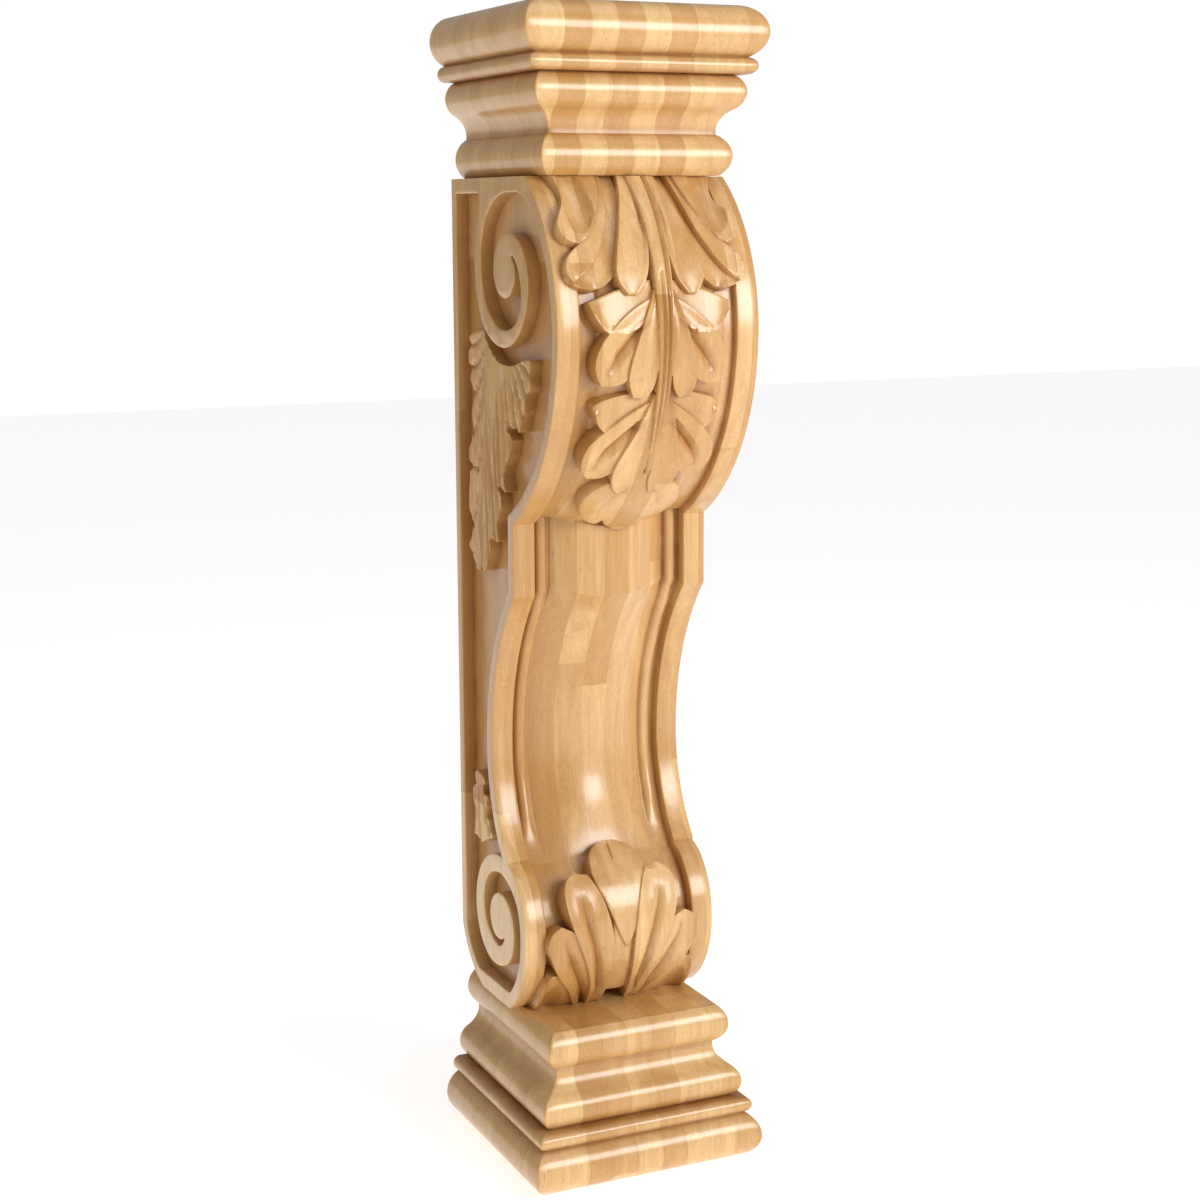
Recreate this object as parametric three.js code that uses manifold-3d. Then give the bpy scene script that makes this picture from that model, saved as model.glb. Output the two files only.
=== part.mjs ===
// Carved wooden corbel bracket: a scrolled body between a moulded capital and a moulded base.
// Millimetres, +Z up. The origin is at the centre of the underside of the whole bracket.
// X runs across the width, the front faces -Y, and the flat back lies at y = BACK.
import * as THREE from 'three';
import Module from 'manifold-3d';
import { mergeVertices } from 'three/addons/utils/BufferGeometryUtils.js';

const wasm = await Module();
wasm.setup();

// Driving dimensions
const HEIGHT = 914.4;
const DEPTH = 221.6;
const BACK = DEPTH / 2;
const BLOCK_WIDTH = 200;
const BLOCK_DEPTH = 194;
const BLOCK_HEIGHT = 126.1;
const JOINT_GAP = 0.3;

const BODY_HALF = 83.2;
const BODY_BOTTOM = BLOCK_HEIGHT + JOINT_GAP;
const BODY_TOP = HEIGHT - BLOCK_HEIGHT - JOINT_GAP;

// Moulding of the capital and base: inset from the outermost plane, and height from its outer end
const BULLNOSE = { inset: 20, height: 20, radius: 20, end: 38 };
const ASTRAGAL = { inset: 12.4, height: 44.8, radius: 6.2 };
const OVOLO = { inset: 27.4, height: 63.9, radius: 14.9, start: 51 };
const COVE_END = { inset: 30.2, height: 93.1 };
const TORUS = { inset: 38.6, height: 111.3, radius: 18.1 };

// Front profile of the body, reach forward of the back plane and height
const BELLY = { reach: 208.5, height: 672, upper: 144, lower: 170 };
const BAND_BLOCK = { reach: 120 };
const WAIST = { reach: 70.5, height: 336, upper: 195, lower: 135 };
const LEDGE = { height: 249, drop: 2.8, fade: 15 };
const FOOT = { reach: 136.5, height: 190, lower: 76 };
const HEEL = { reach: 62.5, height: 190, radius: 65.5 };

// Cross section of the front: raised side bands, a bead in a channel, a swelling middle
const BAND_EDGE = 65;
const CHANNEL = -11.2;
const BEAD = { centre: 56, half: 5.2, rise: 4.8 };
const SWELL = { half: 48.5, crown: 7, edge: -10 };
const FOOT_FIELD = -12;

// Sunk panel on each side
const PANEL_DEPTH = 11;
const STILE = 8.5;
const RAIL = 11.6;
const FRONT_STILE = 11;
const SILL = 13;

const pocketReach = BODY_HALF - PANEL_DEPTH;

// Profile rows of the body's front, from above the top cut to below the bottom cut
function arcRows(rows, centreReach, centreHeight, radius, from, to, steps, hollow) {
  for (let i = 0; i <= steps; i++) {
    const a = from + ((to - from) * i) / steps;
    const side = hollow ? -1 : 1;
    rows.push({
      f: centreReach + side * radius * Math.cos(a),
      z: centreHeight + radius * Math.sin(a),
      nf: Math.cos(a),
      nz: side * Math.sin(a),
    });
  }
}

function profileRows(density) {
  const rows = [];
  const steps = (n) => Math.max(2, Math.round(n * density));
  const bellyTop = Math.asin((800 - BELLY.height) / BELLY.upper);
  arcRows(rows, BELLY.reach - BELLY.upper, BELLY.height, BELLY.upper, bellyTop, 0, steps(9), false);
  const lowCentre = BELLY.reach - BELLY.lower;
  const bellyEnd = -Math.acos((BAND_BLOCK.reach - lowCentre) / BELLY.lower);
  arcRows(rows, lowCentre, BELLY.height, BELLY.lower, 0, bellyEnd, steps(11), false);
  const waistCentre = WAIST.reach + WAIST.upper;
  const waistStart = Math.acos((waistCentre - BAND_BLOCK.reach) / WAIST.upper);
  const blockBottom = WAIST.height + WAIST.upper * Math.sin(waistStart);
  rows.push({ f: BAND_BLOCK.reach, z: (rows.at(-1).z + blockBottom) / 2, nf: 1, nz: 0 });
  arcRows(rows, waistCentre, WAIST.height, WAIST.upper, waistStart, 0, steps(9), true);
  const lowerCentre = WAIST.reach + WAIST.lower;
  const waistEnd = -Math.asin((WAIST.height - LEDGE.height) / WAIST.lower);
  arcRows(rows, lowerCentre, WAIST.height, WAIST.lower, 0, waistEnd, steps(6), true);
  const start = rows.at(-1);
  const rise = start.z - FOOT.height;
  const drop = FOOT.reach - start.f;
  const upper = (rise * rise + drop * drop) / (2 * drop);
  const footTop = Math.asin(rise / upper);
  arcRows(rows, FOOT.reach - upper, FOOT.height, upper, footTop, 0, steps(6), false);
  const footEnd = THREE.MathUtils.degToRad(-86);
  arcRows(rows, FOOT.reach - FOOT.lower, FOOT.height, FOOT.lower, 0, footEnd, steps(8), false);
  return joinRows(rows);
}

// Rows that fall on the same point become one, with a mitred push-out direction
function joinRows(rows) {
  const out = [];
  for (const row of rows) {
    const last = out.at(-1);
    if (last && Math.hypot(last.f - row.f, last.z - row.z) < 0.4) {
      const f = last.nf + row.nf;
      const z = last.nz + row.nz;
      const scale = 2 / (f * f + z * z);
      last.nf = f * scale;
      last.nz = z * scale;
    } else {
      out.push({ ...row });
    }
  }
  let s = 0;
  out.forEach((row, i) => {
    if (i) s += Math.hypot(row.f - out[i - 1].f, row.z - out[i - 1].z);
    row.s = s;
  });
  const datum = out.findIndex((row) => row.z <= 788.3);
  const above = out[datum - 1];
  const part = (above.z - 788.3) / (above.z - out[datum].z);
  const zero = above.s + part * (out[datum].s - above.s);
  out.forEach((row) => {
    row.s -= zero;
  });
  return out;
}

const ROWS = profileRows(1);
const BLOCK_TOP = ROWS.find((row) => row.z < 523.5).s;
const LEDGE_AT = ROWS.find((row) => row.z < LEDGE.height + 0.01).s;

const smooth = (a, b, x) => THREE.MathUtils.smoothstep(x, a, b);
const mix = (a, b, t) => a + (b - a) * t;

// Push-out of the front surface from the band surface, at x and at s down the profile
function relief(x, s) {
  const u = Math.abs(x);
  if (u >= BAND_EDGE) {
    const below = s - LEDGE_AT;
    return below > 0.01 ? -LEDGE.drop * Math.max(0, 1 - below / LEDGE.fade) : 0;
  }
  const k = Math.min(1, u / SWELL.half);
  let p = u < SWELL.half ? mix(SWELL.crown, SWELL.edge, k * k) : CHANNEL;
  const b = Math.abs(u - BEAD.centre) / BEAD.half;
  if (b < 1 && s > BLOCK_TOP - 0.5) {
    const here = 1 - smooth(LEDGE_AT - 45, LEDGE_AT - 8, s);
    p += here * BEAD.rise * Math.sqrt(1 - b * b);
  }
  return mix(p, FOOT_FIELD, smooth(LEDGE_AT - 50, LEDGE_AT + 25, s));
}

// A point of the front at x, at s down the profile, pushed out by p
function frontPoint(x, s, p) {
  let i = ROWS.findIndex((row) => row.s >= s);
  if (i < 1) i = i < 0 ? ROWS.length - 1 : 1;
  const a = ROWS[i - 1];
  const b = ROWS[i];
  const t = (s - a.s) / (b.s - a.s);
  const f = mix(a.f, b.f, t) + p * mix(a.nf, b.nf, t);
  const z = mix(a.z, b.z, t) + p * mix(a.nz, b.nz, t);
  return [x, BACK - f, z];
}

// Closed meshes to solids and back
function solid(points, triangles) {
  const geometry = new THREE.BufferGeometry();
  geometry.setAttribute('position', new THREE.Float32BufferAttribute(points.flat(), 3));
  geometry.setIndex(triangles.flat());
  return solidOf(geometry);
}

function solidOf(geometry) {
  geometry.deleteAttribute('normal');
  geometry.deleteAttribute('uv');
  const merged = mergeVertices(geometry, 1e-4);
  const mesh = new wasm.Mesh({
    numProp: 3,
    vertProperties: new Float32Array(merged.attributes.position.array),
    triVerts: new Uint32Array(merged.index.array),
  });
  return new wasm.Manifold(mesh);
}

function geometryOf(body) {
  const mesh = body.getMesh();
  const geometry = new THREE.BufferGeometry();
  geometry.setAttribute('position', new THREE.BufferAttribute(mesh.vertProperties, 3));
  geometry.setIndex(new THREE.BufferAttribute(mesh.triVerts, 1));
  geometry.computeVertexNormals();
  return geometry;
}

function block(x, yNear, yFar, z0, z1) {
  const geometry = new THREE.BoxGeometry(2 * x, yFar - yNear, z1 - z0);
  geometry.translate(0, (yNear + yFar) / 2, (z0 + z1) / 2);
  return solidOf(geometry);
}

// Quads between two rings of equal length, wound so that ring a lies before ring b
function skin(triangles, a, b, closed) {
  const n = a.length;
  const last = closed ? n : n - 1;
  for (let i = 0; i < last; i++) {
    const j = (i + 1) % n;
    triangles.push([a[i], b[i], b[j]], [a[i], b[j], a[j]]);
  }
}

// Moulded block: the moulding runs round the front and both sides, and the back is flat
function mouldingProfile(arcSteps) {
  const out = [];
  const arc = (shape, from, to, steps, turn) => {
    for (let i = 0; i <= steps; i++) {
      const a = from + ((to - from) * i) / steps;
      out.push([shape.inset - turn * shape.radius * Math.cos(a), shape.height + shape.radius * Math.sin(a)]);
    }
  };
  const noseEnd = Math.asin((BULLNOSE.end - BULLNOSE.height) / BULLNOSE.radius);
  arc(BULLNOSE, -Math.PI / 2, noseEnd, arcSteps * 2, 1);
  arc(ASTRAGAL, -1.45, 1.45, arcSteps, 1);
  const reach = OVOLO.inset - COVE_END.inset;
  const fall = COVE_END.height - OVOLO.height;
  const cove = (reach * reach + fall * fall - OVOLO.radius ** 2) / (2 * (OVOLO.radius - reach));
  const coveInset = COVE_END.inset - cove;
  const meet = Math.atan2(fall, OVOLO.inset - coveInset);
  arc(OVOLO, Math.asin((OVOLO.start - OVOLO.height) / OVOLO.radius), meet, arcSteps, 1);
  for (let i = 1; i <= arcSteps; i++) {
    const a = meet * (1 - i / arcSteps);
    out.push([coveInset + cove * Math.cos(a), COVE_END.height - cove * Math.sin(a)]);
  }
  const torusStart = -Math.acos((TORUS.inset - COVE_END.inset) / TORUS.radius);
  const torusEnd = Math.asin((BLOCK_HEIGHT - TORUS.height) / TORUS.radius);
  arc(TORUS, torusStart, torusEnd, arcSteps + 2, 1);
  out.at(-1)[1] = BLOCK_HEIGHT;
  return out;
}

function mouldedBlock(upsideDown) {
  const points = [];
  const rings = [];
  for (const [inset, height] of mouldingProfile(6)) {
    const x = BLOCK_WIDTH / 2 - inset;
    const front = BACK - BLOCK_DEPTH + inset;
    const z = upsideDown ? HEIGHT - height : height;
    rings.push([0, 1, 2, 3].map((i) => points.length + i));
    points.push([-x, BACK, z], [-x, front, z], [x, front, z], [x, BACK, z]);
  }
  const triangles = [];
  for (let i = 1; i < rings.length; i++) skin(triangles, rings[i - 1], rings[i], true);
  const low = rings[0];
  const high = rings.at(-1);
  triangles.push([low[0], low[1], low[2]], [low[0], low[2], low[3]]);
  triangles.push([high[0], high[2], high[1]], [high[0], high[3], high[2]]);
  if (!upsideDown) triangles.forEach((t) => t.reverse());
  return solid(points, triangles);
}

// Columns across the front, mirrored about the middle
function columns() {
  const half = [9, 18, 27, 35, 42, 48.4, 50.6];
  const bead = [-0.72, 0, 0.72].map((k) => BEAD.centre + k * BEAD.half);
  half.push(...bead, 61.6, BAND_EDGE - 0.8, BAND_EDGE, BODY_HALF);
  return [...half.map((x) => -x).reverse(), 0, ...half];
}

function heelReach(z) {
  const drop = HEEL.height - Math.max(z, BODY_BOTTOM);
  if (drop <= 0) return 0;
  return Math.max(0, HEEL.reach - Math.sqrt(HEEL.radius ** 2 - drop ** 2));
}

// The body before its carving: swept front, flat sides and flat back
function bodyBlank() {
  const points = [];
  const grid = [];
  const xs = columns();
  for (const row of ROWS) {
    const line = xs.map((x) => {
      points.push(frontPoint(x, row.s, relief(x, row.s + 1e-6)));
      return points.length - 1;
    });
    for (const x of [BODY_HALF, -BODY_HALF]) {
      points.push([x, BACK - heelReach(row.z), row.z]);
      line.push(points.length - 1);
    }
    grid.push(line);
  }
  const triangles = [];
  for (let i = 1; i < grid.length; i++) skin(triangles, grid[i - 1], grid[i], true);
  for (const [line, flip] of [[grid[0], false], [grid.at(-1), true]]) {
    const back = line.at(-1);
    for (let i = 0; i < line.length - 2; i++) {
      const t = [back, line[i], line[i + 1]];
      triangles.push(flip ? t.reverse() : t);
    }
  }
  return solid(points, triangles);
}

// Spiral point: angle in degrees from straight forward, turning up and over, radii every 45 degrees
function spiral(centre, radii, start, from, to, step) {
  const out = [];
  const n = Math.round(Math.abs(to - from) / step);
  for (let i = 0; i <= n; i++) {
    const angle = from + ((to - from) * i) / n;
    const k = THREE.MathUtils.clamp((angle - start) / 45, 0, radii.length - 1);
    const a = Math.min(Math.floor(k), radii.length - 2);
    const at = (j) => radii[THREE.MathUtils.clamp(j, 0, radii.length - 1)];
    const t = k - a;
    const p = [at(a - 1), at(a), at(a + 1), at(a + 2)];
    const r = 0.5 * (2 * p[1] + (p[2] - p[0]) * t
      + (2 * p[0] - 5 * p[1] + 4 * p[2] - p[3]) * t * t
      + (3 * p[1] - p[0] - 3 * p[2] + p[3]) * t * t * t);
    const w = THREE.MathUtils.degToRad(angle);
    out.push([centre[0] + r * Math.cos(w), centre[1] + r * Math.sin(w)]);
  }
  return out;
}

// Side ornament outlines, as reach forward of the back plane and height
const UPPER_EYE = [108, 716];
const UPPER_OUT = [69, 60.5, 60.5, 57, 51, 45, 36.5, 28.5, 24.5, 22, 20.3, 19.3, 19.3, 20, 18];
const UPPER_IN = [70, 60.2, 55, 48, 44.8, 44, 41, 28, 20];
const LOWER_EYE = [82, 194];
const LOWER_OUT = [55, 53.5, 50.5, 46, 38, 33.5, 29, 26.5, 23.5, 21.5, 20, 18, 15.5, 14.5];
const LOWER_IN = [49, 46.5, 42, 40.5, 39, 32, 24, 21, 15];

function upperVolute(step) {
  const out = spiral(UPPER_EYE, UPPER_OUT, 135, 135, 765, step);
  const back = spiral(UPPER_EYE, UPPER_IN, 405, 762, 405, step);
  return [...out, ...back, [175, 800], [50, 800]];
}

function lowerVolute(step) {
  const out = spiral(LOWER_EYE, LOWER_OUT, 90, 90, 675, step);
  const back = spiral(LOWER_EYE, LOWER_IN, 315, 671, 315, step);
  return [...out, ...back, [160, 150], [160, LEDGE.height + 0.5], [96, LEDGE.height + 0.5]];
}

const SIDE_LEAF = [
  [31, 665], [62, 671], [70, 660], [79, 653], [88, 648], [106, 645], [126, 647], [153, 652],
  [152, 640], [155, 632], [152, 628], [144, 625], [143, 611], [137, 608], [133, 595], [124, 594],
  [116, 587], [112, 576], [100, 566], [99, 559], [105, 546], [86, 550], [93, 544], [95, 536],
  [84, 522], [88, 505], [69, 507], [70, 497], [59, 478], [41, 477], [27, 494], [33, 516],
  [26, 526], [28, 555], [43, 559], [29, 566], [29, 574], [38, 588], [35, 603], [39, 618],
  [32, 632], [39, 640], [29, 647], [34, 657],
];

const SPRIG = [
  [32, 309], [50, 306], [45, 299], [46, 291], [58, 293], [53, 275], [60, 268], [69, 260],
  [43, 249], [25, 253], [29, 275], [26, 292], [34, 298],
];

// The sunk panel follows the outline of the side
function frontReach(z, inset) {
  const circle = (reach, height, r) => reach + Math.sqrt(Math.max(0, r * r - (z - height) ** 2));
  const hollow = (reach, height, r) => reach - Math.sqrt(Math.max(0, r * r - (z - height) ** 2));
  const upperR = z > BELLY.height ? BELLY.upper : BELLY.lower;
  const belly = circle(BELLY.reach - upperR, BELLY.height, upperR - inset);
  const flat = BAND_BLOCK.reach - inset;
  if (z > 495) return Math.abs(z - BELLY.height) < upperR - inset ? Math.max(belly, flat) : flat;
  const waistR = z > WAIST.height ? WAIST.upper : WAIST.lower;
  const waist = hollow(WAIST.reach + waistR, WAIST.height, waistR + inset);
  if (z > 250) return Math.min(flat, waist);
  const foot = circle(FOOT.reach - FOOT.lower, FOOT.height, FOOT.lower - inset);
  return Math.min(foot, FOOT.reach - inset);
}

function panelOutline() {
  const out = [[STILE, BODY_TOP - RAIL]];
  const floor = BODY_BOTTOM + SILL;
  for (let z = BODY_TOP - RAIL; z > floor; z -= 9) out.push([frontReach(z, FRONT_STILE), z]);
  out.push([frontReach(floor, FRONT_STILE) - 4, floor]);
  const r = HEEL.radius - STILE;
  const low = Math.acos(Math.min(1, (HEEL.height - floor) / r));
  const high = Math.acos((HEEL.reach - STILE) / r);
  for (let i = 0; i <= 6; i++) {
    const a = mix(low, Math.PI / 2 - high, i / 6);
    out.push([HEEL.reach - r * Math.sin(a), HEEL.height - r * Math.cos(a)]);
  }
  return out;
}

// Sideways extrusion of a reach and height outline, from x = near to x = far on one side
function sideways(outline, near, far, side) {
  const shape = new THREE.Shape(outline.map(([f, z]) => new THREE.Vector2(f, z)));
  const geometry = new THREE.ExtrudeGeometry(shape, { depth: far - near, bevelEnabled: false });
  const at = geometry.attributes.position;
  for (let i = 0; i < at.count; i++) {
    at.setXYZ(i, side * (near + at.getZ(i)), BACK - at.getX(i), at.getY(i));
  }
  if (side > 0) flipFaces(geometry);
  return solidOf(geometry);
}

function flipFaces(geometry) {
  const at = geometry.attributes.position;
  const a = new THREE.Vector3();
  const b = new THREE.Vector3();
  for (let i = 0; i < at.count; i += 3) {
    a.fromBufferAttribute(at, i + 1);
    b.fromBufferAttribute(at, i + 2);
    at.setXYZ(i + 1, b.x, b.y, b.z);
    at.setXYZ(i + 2, a.x, a.y, a.z);
  }
}

function sidePocket(side) {
  let pocket = sideways(panelOutline(), pocketReach, BODY_HALF + 6, side);
  for (const outline of [upperVolute(22.5), lowerVolute(22.5), SIDE_LEAF, SPRIG]) {
    pocket = pocket.subtract(sideways(outline, pocketReach - 4, BODY_HALF + 9, side));
  }
  return pocket;
}

// Carved lobes of the front. Each runs from its root to its tip between an inner and an outer edge,
// given as x and s down the profile. face is the push-out of its middle, edge that of its rim.
const LOBES = [
  { name: 'curl', face: 8, edge: 6,
    inner: [[34, -16], [35, 8], [37, 25], [41, 40], [49, 57], [56, 65]],
    outer: [[68, -16], [65, 10], [63, 24], [66, 40], [71, 55], [64, 68]] },
  { name: 'second curl', face: 8, edge: 5.5,
    inner: [[17, -16], [19, 23], [24, 50], [31, 77], [37, 94], [47, 100]],
    outer: [[36, -16], [38, 25], [48, 56], [65, 73], [69, 90], [58, 101]] },
  { name: 'hanging flame', face: 11.5, edge: 9,
    inner: [[6, -16], [8, 20], [10, 48], [12, 78], [15, 98], [21, 105]],
    outer: [[19, -16], [22, 22], [28, 54], [35, 78], [34, 95], [26, 105]] },
  { name: 'second tier corner', face: 6.5, edge: 5,
    inner: [[8, 118], [18, 128], [30, 136], [43, 134], [50, 126]],
    outer: [[8, 96], [20, 97], [34, 98], [47, 107], [54, 117]] },
  { name: 'second tier wing', face: 9, edge: 6.5,
    inner: [[7, 134], [16, 150], [25, 166], [34, 171], [44, 171]],
    outer: [[7, 110], [26, 118], [42, 132], [52, 150], [50, 165]] },
  { name: 'second tier flame', face: 11.5, edge: 9,
    inner: [[4, 104], [5, 130], [6, 155], [9, 172], [15, 179]],
    outer: [[8, 104], [18, 130], [26, 154], [27, 168], [20, 179]] },
  { name: 'third tier corner', face: 6, edge: 4.5,
    inner: [[7, 190], [18, 200], [30, 207], [41, 208], [48, 199]],
    outer: [[7, 174], [20, 179], [34, 182], [46, 185], [50, 191]] },
  { name: 'third tier wing', face: 9, edge: 6.5,
    inner: [[6, 208], [16, 226], [27, 243], [37, 247], [46, 247]],
    outer: [[6, 184], [26, 194], [43, 207], [52, 224], [51, 241]] },
  { name: 'third tier flame', face: 11.5, edge: 9,
    inner: [[2.5, 178], [3, 210], [4, 236], [6, 254], [12, 262]],
    outer: [[7, 178], [16, 206], [26, 232], [27, 248], [18, 261]] },
  { name: 'bottom wing', face: 8, edge: 5.5,
    inner: [[4, 262], [6, 280], [12, 296], [19, 303], [27, 303]],
    outer: [[8, 244], [28, 254], [39, 265], [42, 282], [34, 299]] },
  { name: 'foot flame', face: 9.5, edge: 7,
    inner: [[13, 772], [9, 715], [9, 682], [16, 650], [23, 632], [32, 626]],
    outer: [[26, 772], [26, 718], [38, 684], [49, 657], [49, 638], [40, 626]] },
  { name: 'foot wing', face: 8.5, edge: 6,
    inner: [[15, 772], [25, 728], [35, 690], [42, 671], [51, 665]],
    outer: [[34, 772], [46, 724], [62, 700], [66, 680], [60, 666]] },
  { name: 'foot corner', face: 7, edge: 5,
    inner: [[20, 772], [30, 740], [41, 719], [50, 708]],
    outer: [[64, 772], [68, 738], [68, 718], [60, 706]] },
];

// Lobes on the middle line, given by their half widths at s
const MIDDLES = [
  { name: 'bottom lobe', face: 12.4, edge: 10,
    widths: [[240, 12], [262, 18], [285, 19], [303, 16], [313, 10], [319, 4]] },
  { name: 'foot lobe', face: 4, edge: 1.5,
    widths: [[733, 10], [704, 9], [676, 10], [655, 16], [637, 23], [622, 25], [608, 18], [601, 6]] },
  { name: 'midrib', face: 13.5, edge: 10.5,
    widths: [[-16, 9], [20, 8], [60, 7], [105, 6.5], [150, 6], [195, 4.5], [238, 2.5]] },
];

const EMBED = -15;

function pathAt(path, t) {
  const lengths = [0];
  for (let i = 1; i < path.length; i++) {
    const step = Math.hypot(path[i][0] - path[i - 1][0], path[i][1] - path[i - 1][1]);
    lengths.push(lengths[i - 1] + step);
  }
  const want = t * lengths.at(-1);
  let i = lengths.findIndex((l) => l >= want);
  if (i < 1) i = 1;
  const k = (want - lengths[i - 1]) / (lengths[i] - lengths[i - 1]);
  return [mix(path[i - 1][0], path[i][0], k), mix(path[i - 1][1], path[i][1], k)];
}

function lobeSolid(inner, outer, face, edge, side, stations) {
  const points = [];
  const grid = [];
  for (let i = 0; i <= stations; i++) {
    const a = pathAt(inner, i / stations);
    const b = pathAt(outer, i / stations);
    const line = [];
    const add = (k, p) => {
      points.push(frontPoint(side * mix(a[0], b[0], k), mix(a[1], b[1], k), p));
      line.push(points.length - 1);
    };
    const top = i === stations ? edge : face;
    add(0, EMBED);
    add(0, edge);
    add(0.3, top);
    add(0.7, top);
    add(1, edge);
    add(1, EMBED);
    grid.push(line);
  }
  const triangles = [];
  for (let i = 1; i < grid.length; i++) skin(triangles, grid[i - 1], grid[i], true);
  for (const [line, flip] of [[grid[0], true], [grid.at(-1), false]]) {
    for (let i = 1; i < line.length - 1; i++) {
      const t = [line[0], line[i + 1], line[i]];
      triangles.push(flip ? t.reverse() : t);
    }
  }
  return outward(points, triangles);
}

// A closed mesh turned so that its volume is positive
function outward(points, triangles) {
  let volume = 0;
  const [a, b, c] = [new THREE.Vector3(), new THREE.Vector3(), new THREE.Vector3()];
  for (const t of triangles) {
    volume += a.fromArray(points[t[0]]).dot(b.fromArray(points[t[1]]).cross(c.fromArray(points[t[2]])));
  }
  if (volume < 0) triangles.forEach((t) => t.reverse());
  return solid(points, triangles);
}

function carvedBody() {
  let body = bodyBlank();
  for (const lobe of LOBES) {
    for (const side of [-1, 1]) {
      body = body.add(lobeSolid(lobe.inner, lobe.outer, lobe.face, lobe.edge, side, 6));
    }
  }
  for (const lobe of MIDDLES) {
    const left = lobe.widths.map(([s, w]) => [-w, s]);
    const right = lobe.widths.map(([s, w]) => [w, s]);
    body = body.add(lobeSolid(left, right, lobe.face, lobe.edge, 1, 8));
  }
  for (const side of [-1, 1]) body = body.subtract(sidePocket(side));
  return body.intersect(block(BODY_HALF + 20, BACK - DEPTH - 5, BACK + 5, BODY_BOTTOM, BODY_TOP));
}

const timber = (color) => new THREE.MeshStandardMaterial({ color, roughness: 0.38, metalness: 0 });

const bracket = new THREE.Group();
bracket.name = 'corbel_bracket';

function piece(name, body, color) {
  const mesh = new THREE.Mesh(geometryOf(body), timber(color));
  mesh.name = name;
  bracket.add(mesh);
}

piece('capital', mouldedBlock(true), 0xd9ac74);
piece('body', carvedBody(), 0xdcb07a);
piece('base', mouldedBlock(false), 0xd9ac74);

export default bracket;
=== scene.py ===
"""Carved wooden corbel bracket: a leaf-carved, scrolled body between two moulded blocks."""
import math

import bmesh
import bpy
import numpy as np
from mathutils import Matrix, Vector
from mathutils.geometry import delaunay_2d_cdt
from mathutils.kdtree import KDTree


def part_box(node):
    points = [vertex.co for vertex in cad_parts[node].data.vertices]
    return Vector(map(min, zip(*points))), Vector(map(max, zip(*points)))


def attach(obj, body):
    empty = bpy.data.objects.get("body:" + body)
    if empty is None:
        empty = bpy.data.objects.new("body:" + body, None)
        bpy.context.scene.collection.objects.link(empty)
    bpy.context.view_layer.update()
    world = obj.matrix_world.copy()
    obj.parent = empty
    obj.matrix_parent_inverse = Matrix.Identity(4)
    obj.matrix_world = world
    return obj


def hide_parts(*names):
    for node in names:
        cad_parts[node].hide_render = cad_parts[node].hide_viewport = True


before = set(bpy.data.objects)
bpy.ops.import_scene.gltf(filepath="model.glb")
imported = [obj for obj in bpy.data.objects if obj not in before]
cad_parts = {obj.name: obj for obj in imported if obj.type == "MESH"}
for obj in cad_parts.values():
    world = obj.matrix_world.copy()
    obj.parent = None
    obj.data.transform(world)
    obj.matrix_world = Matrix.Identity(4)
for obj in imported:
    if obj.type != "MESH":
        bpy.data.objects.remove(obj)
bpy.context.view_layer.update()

bl_info = {
    "name": "Carved Corbel Bracket",
    "version": (1, 0, 0),
    "blender": (4, 5, 0),
    "location": "3D View > Sidebar > Corbel",
    "description": "Builds a carved wooden corbel with moulded blocks, leaf front and sunk sides",
    "category": "Add Mesh",
}

# Sizes are in millimetres until a mesh is made. Reach is measured forward from the flat back.
MM = 0.001
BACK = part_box("body")[1][1] / MM
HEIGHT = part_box("capital")[1][2] / MM
BLOCK_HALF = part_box("capital")[1][0] / MM
BLOCK_FRONT = -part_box("capital")[0][1] / MM
BLOCK_HEIGHT = 126.1
BODY_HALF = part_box("body")[1][0] / MM
BODY_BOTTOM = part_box("body")[0][2] / MM
BODY_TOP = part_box("body")[1][2] / MM

# Front profile of the body: reach and height of each arc's crown, and its radii. It starts at
# HEAD_HEIGHT, above the seam. Near a fold between two arcs, the outward direction turns evenly.
HEAD_HEIGHT = 800.0
BELLY_REACH, BELLY_HEIGHT, BELLY_UPPER, BELLY_LOWER = 208.5, 672.0, 144.0, 170.0
PLINTH_REACH = 120.0
WAIST_REACH, WAIST_HEIGHT, WAIST_UPPER, WAIST_LOWER = 70.5, 336.0, 195.0, 135.0
LEDGE_HEIGHT, LEDGE_DROP, LEDGE_FADE = 249.0, 2.8, 15.0
FOOT_REACH, FOOT_HEIGHT, FOOT_LOWER, FOOT_TURN = 136.5, 190.0, 76.0, math.radians(86)
HEEL_REACH, HEEL_HEIGHT, HEEL_RADIUS = 62.5, 190.0, 65.5
SEAM_HEIGHT = 788.3
LEAST_FOLD, FOLD_FADE = 0.05, 18.0

# Cross section of the front, and the distances over which one section turns into the next
BAND_EDGE, BAND_ROUND, BAND_INNER_EASE, BAND_OUTER_EASE = 65.0, 0.5, 0.9, 0.8
CHANNEL = -11.2
BEAD_CENTRE, BEAD_HALF, BEAD_RISE = 56.0, 5.2, 4.8
SWELL_HALF, SWELL_CROWN, SWELL_EDGE = 48.5, 7.0, -10.0
BELLY_CROWN, BELLY_EDGE, BELLY_CHANNEL = 1.5, -4.6, -6.0
WAIST_EDGE, WAIST_CHANNEL = -7.8, -8.2
FOOT_FIELD = -9.5
WAIST_FADE, BEAD_END, FOOT_FADE = 30, (45, 8), (50, 25)

# Carved lobes: width of the wall and of the eased rim, how the top dips towards its crown, how
# sharp a crease is, and the shares of its length over which it fades at its tip and its root
WALL = 0.7
EASE = 1.3
DIP_POWER, CREASE_POWER, TIP_FADE, ROOT_FADE = 0.8, 1.2, 0.3, 0.12
OFF_LOBE = 0.35  # a point further out than this stands on the ground beside a lobe

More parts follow.
